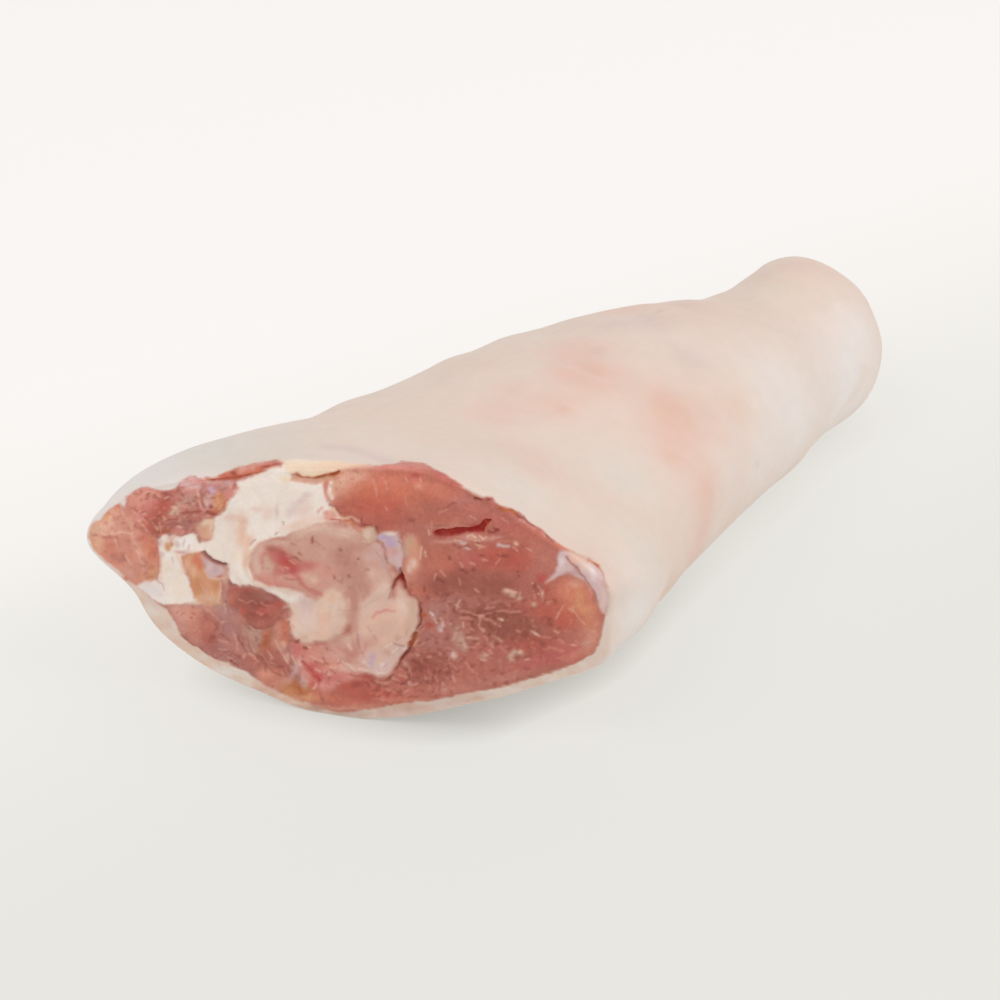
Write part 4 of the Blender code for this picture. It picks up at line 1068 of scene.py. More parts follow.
    dab("blood", 0.95, "478,528,7,3.5 441,533,5,2"),
    dab("rust", 0.4, "486,523,3,3.4,40"),
    dab("red", 0.3, "444,535,6,1.6 452,533,5,1.4"),
    line("clot", 0.7, 2.4, "488,532 492,533 497,530; 494,529 498,529", -0.3),
    line("deep", 0.4, 1.6, "443,510 448,507 453,503 456,502", -0.15),
    dab("deep", 0.6, "454,503,2.4,1.2,20"),
    # The clot and rust lines along the meat's upper edge are partly its dark rim, partly painted shade
    # under the overhanging rind.
    line("clot", 0.9, 2, "475,499 480,499; 484,498 490,499", -0.3),
    line("rust", 1.0, 3, "498,506 504,509 510,511 516,514", -0.4),
    dab("clot", 0.8, "499,507,2,1.6 518,516,3,1.2,-30"),
    line("clot", 0.75, 1.6, "519,516 526,519 533,526; 545,534 552,540 556,543", -0.3),
    line("orange", 0.9, 2.8, "556,544 562,547 569,549", -0.2),
    line("tan", 0.8, 1.6, "570,550 580,555 586,557", -0.2),
    line("ochre", 0.9, 2.4, "588,560 594,563 600,568 602,572", -0.2),
    dab("rust", 0.8, "596,565,3.4,1.4,-35"),
    dab("salmon", 0.8, "419,486,4.5,4 421,478,1.5,4"),
    dab("crimson", 0.5, "417,475,5,1.8"),
    # From here the pale, peach, white and cream strokes and dots are partly the meat's own pale streaks,
    # partly painted glints on its wet surface.
    line("pale", 0.5, 1.7, """406,497 406,505; 431,521 431,534; 382,478 386,484 388,492; 372,480
        376,488 375,496; 405,478 408,482; 440,513 446,510; 470,516 476,519; 502,518 508,521; 520,520
        528,524; 534,529 530,525; 540,532 545,536; 386,508 388,510"""),
    dab("deep", 0.4, "412,521,3,2 440,525,10,1.2 470,524,8,1.2"),
    dab("pale", 0.7, "474,538,18,3 448,542,14,2.5 495,538,9,2"),
    line("peach", 0.8, 1.5, """468,537 472,535 476,539; 480,535 483,539 486,536; 455,540 461,541;
        474,542 480,541; 476,545 481,546; 428,530 429,535"""),
    dab("deep", 0.55, "454,545,2,1.6 459,547,1.6,2 466,545,2,1.6 469,548,2,1.4 478,543,3,1"),
    dab("lilac", 0.8, "463,543,3,1.8 467,549,4,1.2"),
    line("lilac", 0.95, 3.4, "498,545 503,547 509,547", 0.1),
    dab("peach", 0.95, "516,544,2.6,2.6"),
    dab("salmon", 0.5, "506,542,8,1.6"),
    dab("deep", 0.75, """450,557,1.8,2.4 463,570,3,2 467,572,2,1.6 473,570,2.2,1.8
        439,580,3.6,1.8,-25 443,582,2,1.6 424,588,1.6,4 518,572,1.4,1.4 518,577,1.4,1.4
        503,556,6,1.6 448,595,3,2 482,556,3,1.2 535,585,2,4"""),
    line("peach", 0.5, 1.8, """460,563 463,567; 483,560 488,560; 496,564 499,560; 478,548 484,547;
        458,578 459,584; 436,574 434,580; 470,563 474,565; 441,571 446,576; 476,589 478,592; 513,548
        518,552; 526,548 532,550"""),
    dab("tan", 0.95, "507,592,4,2.4 513,595,4,2 519,597,3,3 534,604,3.4,2.4", 0.12),
    dab("peach", 0.8, "509,592,5,2 521,593,2,1.4 514,592,3,1 543,594,2,3 533,583,1.4,1.4"),
    dab("deep", 0.4, "512,598,3,1.2 524,600,3,1.6 531,609,3,1.6 505,598,4,1"),
    dab("crimson", 0.65, "542,578,4,5 547,590,2,5"),
    line("salmon", 0.7, 1.6, "548,602 554,601; 538,586 541,592; 534,590 536,598"),
    line("pale", 0.65, 1.9, """459,611 467,611 474,614 480,616 488,613 500,611 512,611 520,612;
        488,606 496,602 504,602 509,605; 482,617 490,620 495,624 500,626; 480,618 479,626 482,632;
        460,617 470,617 476,620; 486,608 494,607"""),
    line("deep", 0.65, 1.8, """462,614 470,614 477,617; 484,615 492,618 500,616; 503,614 508,617;
        512,615 520,615; 486,622 492,630; 500,604 507,607; 470,622 476,626; 484,626 490,636; 450,604
        456,607""", -0.15),
    dab("brown", 0.6, "504,604,5,3 494,614,8,2 517,615,6,2"),
    line("peach", 0.62, 2.0, """457,609 459,605 461,602; 498,619 503,620; 463,622 464,627; 480,616
        484,615; 496,635 499,638 502,641; 482,629 483,632; 492,642 493,647; 468,636 472,638; 473,640
        478,643; 531,631 536,633 540,636; 517,631 522,634 528,639; 490,650 493,655; 555,630
        558,632"""),
    line("salmon", 0.6, 1.8, """540,636 548,638 557,640 563,643; 548,647 556,649 564,651; 465,663
        470,669 477,673; 452,664 457,669; 544,648 549,650; 476,676 480,680; 500,660 501,668; 484,636
        489,644; 466,648 474,647; 448,648 454,650; 436,676 438,682; 500,646 506,652; 576,640
        580,644"""),
    dab("lilac", 0.8, "434,616,2,4,-30 440,628,3,4 454,655,2.5,4"),
    line("white", 0.6, 1.8, "431,613 435,618 436,623; 441,619 443,626 441,631"),
    dab("crimson", 0.6, "430,626,4,2.6"),
    dab("tan", 0.55, "460,640,6,8 464,646,3,5 458,630,4,4 485,656,6,3"),
    line("lump", 0.6, 2.0, """462,638 464,644 467,649; 456,632 452,640; 482,652 488,656 492,658;
        480,660 486,660; 455,606 460,608; 448,622 452,626; 470,628 474,630; 453,652 457,657"""),
    dab("deep", 0.7, "475,641,3,2 524,635,4,2.6,-35 551,622,2.6,5 469,634,4,1.4 487,634,3,2 497,643,3,2"),
    dab("clot", 0.4, "526,637,5,2.4,-35 447,637,2,4"),
    dab("cream", 0.9, "536,634,2.6,1.2,-35 502,620,2,1 539,594,0.8,0.8"),
    dab("tan", 1.0, "516,652,5,2.6 512,656,3,3 519,653,5,2", 0.12),
    dab("peach", 0.7, "521,652,3,1.4 512,658,1.6,3 527,659,3,1.2 573,645,3,1.4"),
    dab("deep", 0.4, "516,657,5,1.4 525,656,3,1.4"),
    dab("tan", 0.4, "586,643,4,3 560,658,3,1 444,688,2,5"),
    line("pale", 0.7, 1.6, """404,662 409,668 411,673; 414,652 420,656; 399,676 406,677; 408,682
        414,685 418,683; 384,684 390,683; 393,679 400,682; 376,680 382,683; 418,646 424,644; 402,690
        408,691; 388,690 394,692; 424,672 426,678; 378,699 384,700; 443,684 446,690; 452,676
        456,682"""),
    line("deep", 0.6, 1.6, """372,680 378,683; 384,687 392,686; 395,683 402,684 408,680; 374,689
        380,690; 366,682 370,687; 404,668 408,674 410,680; 396,691 402,692; 386,679 394,676; 412,660
        418,664""", -0.15),
    dab("lilac", 0.7, "411,684,2.4,2 406,664,2,3"),
    dab("crimson", 0.4, "368,676,6,2 401,680,3,2 417,690,4,2"),
    # the edge under the right half, and last touches all over
    line("salmon", 0.5, 2, "330,706 350,708 370,709 390,707"),
    line("peach", 0.35, 3, "284,696 292,700 302,703 318,706 340,709 360,709"),
    dab("peach", 0.5, "96,531,8,12 94,529,6,8 99,546,5,8"),
    dab("pale", 0.3, "130,545,12,9 141,500,9,6 214,500,7,8 205,586,7,7 590,640,6,10"),
    dab("peach", 0.45, "201,600,6,5 576,583,8,5"),
    dab("salmon", 0.35, "400,691,18,6 240,620,8,5 210,625,9,7"),
    dab("lilac", 0.45, "599,598,4,9"),
    dab("salmon", 0.22, "250,660,22,7,-35 232,645,14,7,-40 268,676,12,6,-35"),
    dab("rose", 0.22, "352,652,13,8 368,642,8,6 334,648,10,6 362,664,9,5"),
    dab("peach", 0.5, "396,606,6,7 404,622,5,8 384,640,6,4", 0.15),
    line("umber", 0.45, 1.6, """352,638 355,644; 347,648 353,654; 362,650 366,656; 339,655 345,659;
        357,661 363,663; 373,634 377,639; 330,648 334,653; 385,666 388,663; 398,640 403,636; 368,626
        371,631""", -0.12),
    # The white strokes are partly the fat's own streaks, partly painted glints on it.
    line("white", 0.45, 1.7, """365,660 371,666; 359,667 368,670; 351,665 355,669; 377,671 384,673;
        343,661 349,664; 393,651 398,647; 386,646 392,643; 349,643 352,648; 337,661
        341,665""", 0.12),
    dab("deep", 0.18, "422,500,14,9 252,600,8,4 460,580,12,8"),
)


# How a dab and a drawn line fade, and how far round each of them its cover is worked out.
DAB_FALL = 0.9
DAB_POWER = 1.3
DAB_MARGIN = 2.5
LINE_HALF = 0.6
LINE_MARGIN = 2
# Numbers below which a length counts as none, and above any distance in the photograph.
TINY = 1e-9
FAR = 1e9


def soft_share(distance, soft):
    """Cover of an edge: 1 well inside, where distance is below zero, and 0 outside."""
    return ease(0.5 - distance / (2 * soft))


def line_distance(places, points):
    """Distance from places to a drawn line."""
    nearest = np.full(places.shape[:-1], FAR)
    for start, end in zip(points, points[1:]):
        start, run = np.array(start, float), np.subtract(end, start).astype(float)
        part = np.clip(((places - start) @ run) / max(run @ run, TINY), 0, 1)
        gap = np.linalg.norm(places - start - part[..., None] * run, axis=-1)
        nearest = np.minimum(nearest, gap)
    return nearest


def outline_distance(places, points):
    """Signed distance to a closed outline, below zero inside it."""
    inside = np.zeros(places.shape[:-1], bool)
    for (x0, y0), (x1, y1) in zip(points, points[1:] + points[:1]):
        crosses = (y0 > places[..., 1]) != (y1 > places[..., 1])
        at = x0 + (places[..., 1] - y0) * (x1 - x0) / ((y1 - y0) or TINY)
        inside ^= crosses & (places[..., 0] < at)
    distance = line_distance(places, points + points[:1])
    return np.where(inside, -distance, distance)


def oval_cover(places, oval):
    """Cover of a soft oval: middle, reaches and an optional turn in degrees."""
    x, y, reach_across, reach_down = oval[:4]
    turn = radians(oval[4]) if len(oval) > 4 else 0.0
    dx, dy = places[..., 0] - x, y - places[..., 1]
    far = ((dx * cos(turn) + dy * sin(turn)) / reach_across) ** 2
    far += ((dy * cos(turn) - dx * sin(turn)) / reach_down) ** 2
    return np.exp(-DAB_FALL * far**DAB_POWER)


def layer_covers(layer, places):
    """For each shape of a layer, the places near it and how far it covers them."""
    form, size = layer.form, layer.size
    shapes = [[oval] for oval in layer.paths[0]] if form == "dab" else layer.paths
    for shape in shapes:
        corners = np.array([place[:2] for place in shape])
        margin = DAB_MARGIN * max(shape[0][2:4]) if form == "dab" else LINE_MARGIN * size + 1
        near = np.all((places > corners.min(0) - margin) & (places < corners.max(0) + margin), -1)
        spots = places[near]
        if form == "fill":
            yield near, soft_share(outline_distance(spots, shape), size)
        elif form == "line":
            far = line_distance(spots, shape) / (LINE_HALF * size)
            yield near, layer.strength * np.exp(-(far**2))
        else:
            yield near, layer.strength * oval_cover(spots, shape[0])


def fleck_layers():
    """Short pale and dark strokes scattered over the meat; the pale ones are partly painted glints."""
    draw = np.random.default_rng(FLECK_SEED)
    layers = []
    for tone, strength, width, rise, count, corner, far_corner in FLECKS:
        paths = []
        for _ in range(count):
            start = draw.uniform(corner, far_corner)
            turn, length = draw.uniform(0, tau), draw.uniform(*FLECK_LENGTHS)
            bend = turn + draw.uniform(-FLECK_BEND, FLECK_BEND)
            middle = start + length / 2 * np.array([cos(turn), sin(turn)])
            end = middle + length / 2 * np.array([cos(bend), sin(bend)])
            paths.append([tuple(start), tuple(middle), tuple(end)])
        layers.append(Layer("line", tone, strength, width, paths, rise, None))
    return layers


TISSUES = ("muscle", "fat", "bone", "skin")


def one_tissue(kind, shape):
    """Tissue shares of points that are all of one tissue."""
    return {tissue: np.full(shape, float(tissue == kind)) for tissue in TISSUES}


def joined(share, more):
    """Tissue shares of points, followed by those of more points."""
    return {tissue: np.concatenate([share[tissue].ravel(), more[tissue].ravel()])
            for tissue in TISSUES}


def lean(share, kind, cover, near=...):
    """Move the tissue shares towards one tissue, at all points or at the near ones."""
    for tissue in TISSUES:
        share[tissue][near] += ((tissue == kind) - share[tissue][near]) * cover


def by_tissue(amounts, share):
    """An amount at each point, from the amount of each tissue."""
    return sum(amount * share[tissue] for tissue, amount in amounts.items())


def over(colour, upper, cover):
    """Colours with an upper colour laid over them."""
    return colour + (np.asarray(upper, float) - colour) * cover[..., None]


def lay_on(layer, places, colour, rise, share):
    """Lay one layer over the colours, the relief and the tissue shares."""
    for near, cover in layer_covers(layer, places):
        colour[near] = over(colour[near], TONES[layer.tone], cover)
        rise[near] += layer.rise * cover
        if layer.tissue:
            lean(share, layer.tissue, cover, near)


def lay_patches(points, colour, patches, spread):
    """Lay soft patches over the colours."""
    middle, contrast = spread
    for tone, strength, size, seed in patches:
        cover = strength * ease(middle + contrast * rough_noise(points, size, seed, 2))
        colour = over(colour, TONES[tone], cover)
    return colour


def band_paint(points, places):
    """The rind's cut edge: pale, with creamy and pink patches, lightened where it faces down (partly
    painted light) and darkened along its lowest edge (partly painted shade).
    """
    colour = np.zeros(points.shape) + TONES["rind edge"]
    for layer in EDGE_LAYERS:
        for near, cover in layer_covers(layer, places):
            colour[near] = over(colour[near], TONES[layer.tone], cover)
    return lay_patches(points, colour, EDGE_PATCHES, EDGE_SPREAD)


def turned_away(rings):
    """How far points of rings round the leg are turned away from the photograph's camera."""
    around = np.roll(rings, -1, axis=1) - np.roll(rings, 1, axis=1)
    normal = np.cross(np.gradient(rings, axis=0), around)
    outward = rings - rings.mean(axis=1, keepdims=True)
    normal *= np.sign(np.sum(normal * outward, -1))[..., None]
    sight = CAMERA_PLACE - rings
    lengths = np.linalg.norm(normal, axis=-1) * np.linalg.norm(sight, axis=-1)
    return ease(-np.sum(normal * sight, -1) / lengths / AWAY_FADE)


def lay_flecks(places, colour, rise, share):
    """Colours and relief with small strokes, the pale ones partly painted glints, laid over the meat
    alone.
    """
    meat = share["muscle"].copy()
    flecked, fleck_rise = colour.copy(), rise.copy()
    for layer in fleck_layers():
        lay_on(layer, places, flecked, fleck_rise, share)
    return over(colour, flecked, meat), rise + (fleck_rise - rise) * meat


def paint_cut(points, skin, on_rim, away=0.0):
    """Colour (sRGB), rise in mm and tissue shares of the knee cut's points."""
    places = to_photo(points) + sum(warp(points, *row) for row in CUT_WARPS)
    colour = np.zeros(points.shape) + TONES["muscle"]
    rise = np.zeros(points.shape[:-1])
    share = one_tissue("muscle", rise.shape)
    for layer in CUT_LAYERS:
        lay_on(layer, places, colour, rise, share)
    colour, rise = lay_flecks(places, colour, rise, share)
    outside = 1 - soft_share(outline_distance(places, MEAT_EDGE), MEAT_EDGE_SOFT) * (1 - away)
    low = soft_share(points[..., 2] - EDGE_BAND_TOP, EDGE_BAND_TOP / 3) * (1 - on_rim)
    edge = over(skin, band_paint(points, places), low)
    lean(share, "skin", outside)
    return over(colour * CUT_LIFT, edge, outside), rise * (1 - outside), share


# ---------------------------------------------------------------- the rind
def ripple(points):
    """Small unevenness of the rind, outward in mm."""
    return uneven(points, RIPPLES)


def surface_samples():
    """Points of the rind spread over the leg, with the pixels of those that face the camera."""
    angles = np.arange(RIND_ROUND) * tau / RIND_ROUND
    alongs = np.arange(0.0, LEG_SECTIONS[-1][0], SURFACE_SAMPLE_STEP)
    points = np.array([leg_point(along, angles) for along in alongs])
    around = np.roll(points, -1, axis=1) - points
    lengthwise = np.gradient(points, axis=0)
    normal = np.cross(lengthwise, around)
    normal *= np.sign(np.sum(normal * (points - points.mean(axis=1, keepdims=True)), -1))[..., None]
    facing = np.sum(normal * (CAMERA_PLACE - points), -1) > 0
    return points[facing]


SAMPLES = surface_samples()
SAMPLE_PIXELS = to_photo(SAMPLES)


def rind_place(pixel):
    """The rind's point that shows at a pixel of the photograph."""
    return SAMPLES[np.argmin(np.linalg.norm(SAMPLE_PIXELS - pixel, axis=-1))]


RIND_BUMP_PLACES = [rind_place(pixel) for _height, _reach, pixel in RIND_BUMPS]
RIND_CREASE_PLACES = [[rind_place(pixel) for pixel in trace(path)[0]]
                      for _tone, _strength, _width, _depth, path in RIND_CREASES]


def crease_cover(points, width, places):
    """How far a crease covers points near it."""
    return np.exp(-((line_distance(points, places) / width) ** 2))


def bumps(points):
    """Rise of the rind's bumps and creases, in mm."""
    rise = np.zeros(points.shape[:-1])
    for (height, reach, _pixel), place in zip(RIND_BUMPS, RIND_BUMP_PLACES):
        rise += height * np.exp(-((np.linalg.norm(points - place, axis=-1) / reach) ** 2))
    for (_tone, _strength, width, depth, _path), places in zip(RIND_CREASES, RIND_CREASE_PLACES):
        rise -= depth * crease_cover(points, width, places)
    return rise


def rind_ring(along, angles, inward=0.0):
    """Points of the uneven rind's ring at one distance along the leg."""
    plain = leg_point(along, angles)
    table = np.array(RIM_TRIM)
    trim = smooth_curve(table[:, 0], table[:, 1], np.mod(np.degrees(angles), 360))
    trim = trim * (1 - ease(along / RIM_TRIM_FADE))
    return leg_point(along, angles, inward + trim - ripple(plain) - bumps(plain))


def skin_paint(points):
    """Colour of the rind at points: pale, with pink and creamy patches, cool patches that are partly
    painted light on its shaded sides, and creases that are partly painted shade.
    """
    colour = np.zeros(points.shape) + TONES["rind"]
    colour = lay_patches(points, colour, RIND_MOTTLES, RIND_SPREAD)
    shift = warp(points, *PATCH_WARP)
    for tone, strength, pixel, reach in RIND_PATCHES:
        moved = points + min(PATCH_SHIFT_MOST, PATCH_SHIFT_SHARE * reach) * shift
        far = np.linalg.norm(moved - rind_place(pixel), axis=-1) / reach
        colour = over(colour, TONES[tone], strength * np.exp(-far**2))
    for (tone, strength, width, _depth, _path), places in zip(RIND_CREASES, RIND_CREASE_PLACES):
        colour = over(colour, TONES[tone], strength * crease_cover(points, width, places))
    return colour


# ---------------------------------------------------------------- meshes
def to_row(points):
    """Leg frame in mm to row frame in metres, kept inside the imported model's box."""
    placed = (points + np.array([*BOX_CENTRE_SHIFT, 0.0])) * METRES_PER_MM
    return np.clip(placed, np.array(CAD_BOX[0]), np.array(CAD_BOX[1]))


def new_mesh(name, points, quads, lids=()):
    """A mesh object from points (leg frame, mm), faces of four corners and many-cornered lids."""
    mesh = bpy.data.meshes.new(name)
    corners = np.concatenate([quads.ravel(), *lids]).astype(np.int32)
    sizes = np.array([4] * len(quads) + [len(lid) for lid in lids], np.int32)
    mesh.vertices.add(len(points))
    mesh.vertices.foreach_set("co", to_row(points).astype(np.float32).ravel())
    mesh.loops.add(len(corners))
    mesh.loops.foreach_set("vertex_index", corners)
    mesh.polygons.add(len(sizes))
    mesh.polygons.foreach_set("loop_start", (np.cumsum(sizes) - sizes).astype(np.int32))
    mesh.update(calc_edges=True)
    mesh.validate()
    mesh.shade_smooth()
    obj = bpy.data.objects.new(name, mesh)
    bpy.context.scene.collection.objects.link(obj)
    return obj


def linear(colour):
    """sRGB from 0 to 255 to linear light."""
    value = np.clip(np.asarray(colour, float) / 255.0, 0, 1)
    return np.where(value <= 0.04045, value / 12.92, ((value + 0.055) / 1.055) ** 2.4)


def store_paint(obj, colour, share):
    """Keep the colour and the tissue shares at each point of the mesh."""
    layer = obj.data.color_attributes.new("paint", "FLOAT_COLOR", "POINT")
    rgba = np.ones((len(colour), 4), np.float32)
    rgba[:, :3] = linear(colour)
    layer.data.foreach_set("color", rgba.ravel())
    for tissue in TISSUES:
        value = obj.data.attributes.new(tissue, "FLOAT", "POINT")
        value.data.foreach_set("value", np.asarray(share[tissue], np.float32).ravel())


def tube_quads(rings, round_count, start=0):
    """Faces between rings of points that lie one after another."""
    i, j = np.meshgrid(np.arange(rings - 1), np.arange(round_count), indexing="ij")
    a, b = i * round_count + j, i * round_count + (j + 1) % round_count
    return np.stack([a, a + round_count, b + round_count, b], -1).reshape(-1, 4) + start


def rim_cells(cells):
    """Grid places round the rim, from the lower right corner up and round."""
    nx, ny = cells
    row = np.concatenate([np.full(ny, nx), nx - np.arange(nx), np.zeros(ny, int), np.arange(nx)])
    column = np.concatenate([np.arange(ny), np.full(nx, ny), ny - np.arange(ny), np.zeros(nx, int)])
    return row * (ny + 1) + column


def cap_quads(cells):
    """Faces of a grid of points."""
    i, j = np.meshgrid(np.arange(cells[0]), np.arange(cells[1]), indexing="ij")
    step = cells[1] + 1
    a = i * step + j
    return np.stack([a, a + step, a + step + 1, a + 1], -1).reshape(-1, 4)


def capped_tube(caps, rings, cells):
    """A closed tube: a grid cap, rings from its rim, and a grid cap or a flat lid at the end."""
    first, rim = caps[0].reshape(-1, 3), rim_cells(cells)
    count, start = len(rim), len(first)
    points = [first, rings.reshape(-1, 3)]
    b = start + np.arange(len(rings) * count).reshape(-1, count)
    a = np.concatenate([rim[None], b[:-1]])
    quads = [cap_quads(cells), np.stack([a, b, np.roll(b, -1, 1), np.roll(a, -1, 1)], -1).reshape(-1, 4)]
    if len(caps) == 1:
        return np.concatenate(points), np.concatenate(quads), [b[-1][::-1]]
    size = start + len(rings) * count
    last, rim_far = b[-1], rim + size
    points.append(caps[1].reshape(-1, 3))
    quads.append(cap_quads(cells)[:, ::-1] + size)
    quads.append(np.stack([last, rim_far, np.roll(rim_far, -1), np.roll(last, -1)], -1))
    return np.concatenate(points), np.concatenate(quads), []


def bone_outline(angles):
    """Points across and up of the bone's edge in the knee cut."""
    return closed_outline(BONE_OUTLINE, BONE_MIDDLE, BONE_ASPECT, angles)


def cut_bulge(across, up):
    """How far the knee cut's rim bulge carries points of the cut out of its plane."""
    middle, side, lengthwise = cut_frame(LEG_SECTIONS[0])
    rim = rind_ring(0.0, np.linspace(0, tau, RIM_SAMPLES, endpoint=False))
    rim_across, rim_out = (rim - middle) @ side, (middle - rim) @ lengthwise
    du, dv = rim_across - rim_across.mean(), rim[:, 2] - rim[:, 2].mean()
    turn = np.arctan2(dv, du)
    u, v = across - rim_across.mean(), up - rim[:, 2].mean()
    at = np.arctan2(v, u)
    share = np.hypot(u, v) / np.interp(at, turn, np.hypot(du, dv), period=tau)
    return rim_out.mean() + (np.interp(at, turn, rim_out, period=tau) - rim_out.mean()) * share


def bone_level(across, up):
    """How far the tissue round the bone is raised to the level of its sawn face."""
    edge = bone_outline(np.linspace(0, tau, BONE_EDGE_SAMPLES, endpoint=False))
    inside = -outline_distance(np.stack([across, up], -1), [tuple(p) for p in edge])
    return inside, ease(1 + inside / BONE_SHOULDER)


def knee_face(flat, radius, skin):
    """The knee cut's surface over flat points, with its colour and tissue shares."""
    middle, across, lengthwise = cut_frame(LEG_SECTIONS[0])
    u, v = (flat - middle) @ across, flat[..., 2]
    inside, level = bone_level(u, v)
    rise = form_rise(KNEE_FORMS, u, v) * (1 - level) + BONE_LEVEL * level
    rise *= ease((1 - radius) / CUT_RIM_BAND)
    front = flat - rise[..., None] * lengthwise
    colour, fine, share = paint_cut(front, skin, np.zeros(u.shape))
    mottle = by_tissue(MOTTLE, share) * uneven(front, MOTTLE_NOISE)
    colour = colour * (1 + mottle[..., None] * MOTTLE_TINT)
    lumpy = uneven(front, LUMP_NOISE) * by_tissue(LUMP_RISE, share)
    grain = uneven(front, GRAIN_NOISE) * by_tissue(GRAIN_RISE, share)
    fine = (fine + lumpy + grain) * ease((1 - radius) / FINE_RIM_BAND)
    return front - fine[..., None] * lengthwise, colour, share, inside


def knee_cut():
    """The knee cut: its face, and the meat's edge lapping over the rim."""
    angles = rim_angles(CUT_CELLS)
    radius, angle = disc_grid(CUT_CELLS)
    flat = cap_points(rind_ring(0.0, angles), angles, radius, angle)
    front, colour, share, inside = knee_face(flat, radius, skin_paint(flat))
    _middle, _across, lengthwise = cut_frame(LEG_SECTIONS[0])
    sunk = BONE_SINK * ease((inside - BONE_OVERLAP) / BONE_SINK_RUN)
    front += sunk[..., None] * lengthwise
    front[..., 2] = np.maximum(front[..., 2], 0.0)
    laps = np.linspace(0.0, LAP_REACH, LAP_RINGS + 1)[1:]
    rings = np.array([rind_ring(t, angles, LAP_DEPTH * lap_share(t)) for t in laps])
    on_rim = np.ones(rings.shape[:-1])
    lap_colour, _rise, lap_tissues = paint_cut(rings, skin_paint(rings), on_rim, turned_away(rings))
    points, quads, lids = capped_tube((front,), rings, CUT_CELLS)
    obj = new_mesh("knee_cut", points, quads, lids)
    colour = np.concatenate([colour.reshape(-1, 3), lap_colour.reshape(-1, 3)])
    store_paint(obj, colour, joined(share, lap_tissues))
    return obj


def lap_share(along):
    """How far the lap over the rim has sunk under the rind."""
    return ease((along - (LAP_REACH - LAP_BLEND)) / LAP_BLEND)


def rind():
    """The rind from the knee cut to the ankle cut."""
    length = LEG_SECTIONS[-1][0]
    alongs = np.concatenate([
        RIND_FIRST_RINGS, np.arange(RIND_EVEN_START, length - ANKLE_ROLL, RIND_STEP),
        length - ANKLE_ROLL * (1 - np.sin(np.linspace(0, tau / 4, ROLL_RINGS))),
    ])
    angles = np.arange(RIND_ROUND) * tau / RIND_ROUND
    rings = [rind_ring(t, angles, LAP_DEPTH * (1 - lap_share(t))) for t in alongs]
    rings += [rind_ring(length - t, angles, inward) for t, inward in RIND_LIP]
    points = np.array(rings).reshape(-1, 3)
    last = len(points) - RIND_ROUND + np.arange(RIND_ROUND)
    lids = (np.arange(RIND_ROUND), last[::-1])
    obj = new_mesh("rind", points, tube_quads(len(rings), RIND_ROUND), lids)
    store_paint(obj, skin_paint(points), one_tissue("skin", len(points)))
    return obj


def ankle_cut():
    """The ankle cut: fat under the rind, tendons and a little meat round the bone's end."""
    angles = rim_angles(ANKLE_CELLS)
    radius, angle = disc_grid(ANKLE_CELLS)
    length = LEG_SECTIONS[-1][0]
    rim = rind_ring(length - ANKLE_SINK, angles, ANKLE_TUCK)
    flat = cap_points(rim, angles, radius, angle)
    middle, across, lengthwise = cut_frame(LEG_SECTIONS[-1])
    u, v = (flat - middle) @ across, flat[..., 2]
    rise = form_rise(ANKLE_FORMS, u, v) + uneven(flat, ANKLE_LUMP_NOISE)
    rise *= ease((1 - radius) / CUT_RIM_BAND)
    colour, share = paint_ankle(flat, u, v, radius, skin_paint(flat))
    _along, sideways, height, _yaw, half_width, half_height = BONE_SECTIONS[-1]
    far = np.hypot((u - (sideways - middle[1])) / half_width, (v - height) / half_height)
    rise = rise * ease((far - ANKLE_BONE_CLEAR) / ANKLE_BONE_FADE)
    rise = rise - BONE_SINK * ease((1 - far) * ANKLE_BONE_SLOPE)
    front = flat + rise[..., None] * lengthwise
    rings = np.array([rind_ring(length - back, angles, inward) for back, inward in ANKLE_SKIRT])
    points, quads, lids = capped_tube((front,), rings, ANKLE_CELLS)
    obj = new_mesh("ankle_cut", points, quads[:, ::-1], [lid[::-1] for lid in lids])
    hidden = np.zeros((rings.size // 3, 3)) + TONES["rind edge"]
    colour = np.concatenate([colour.reshape(-1, 3), hidden])
    store_paint(obj, colour, joined(share, one_tissue("skin", len(hidden))))
    return obj


def paint_ankle(points, across, up, radius, skin):
    """Colour and tissue shares of the ankle cut."""
    colour = np.zeros(points.shape) + TONES["fat"]
    share = one_tissue("fat", radius.shape)
    shift = warp(points, *ANKLE_WARP)
    across, up = across + shift[..., 0], up + shift[..., 1]
    for tone, kind, strength, mid_across, mid_up, reach_across, reach_up, soft in ANKLE_LAYERS:
        far = np.hypot((across - mid_across) / reach_across, (up - mid_up) / reach_up)
        cover = strength * ease((1 - far) / soft + 0.5)
        colour = over(colour, TONES[tone], cover)
        lean(share, kind, cover)
    mottle = uneven(points, ANKLE_MOTTLE_NOISE) * by_tissue(ANKLE_MOTTLE, share)
    colour = colour * (1 + mottle[..., None] * MOTTLE_TINT)
    near_rim = radius - ANKLE_EDGE[0] + uneven(points, ANKLE_RIM_NOISE)
    near_rim = ease(near_rim / ANKLE_EDGE[1])
    colour = over(colour, TONES["rind edge"], near_rim)
    colour = over(colour, skin, ease((radius - ANKLE_SKIN[0]) / ANKLE_SKIN[1]))
    lean(share, "skin", near_rim)
    return colour, share


def bone_rings(edge, angles):
    """Rings along the bone, from its edge in the knee cut to its end."""
    table = np.array(BONE_SECTIONS)
    start = edge - BONE_MIDDLE
    rings = []
    for along in BONE_RINGS:
        x, y, height, yaw, half_width, half_height = smooth_curve(table[:, 0], table, along)
        ring = np.stack([half_width * np.cos(angles), half_height * np.sin(angles)], -1)
        ring = start + (ring - start) * ease(along / BONE_FADE)
        yaw = radians(yaw)
        rings.append(np.stack([x + ring[:, 0] * sin(yaw), y - ring[:, 0] * cos(yaw),
                               height + ring[:, 1]], -1))
    return rings


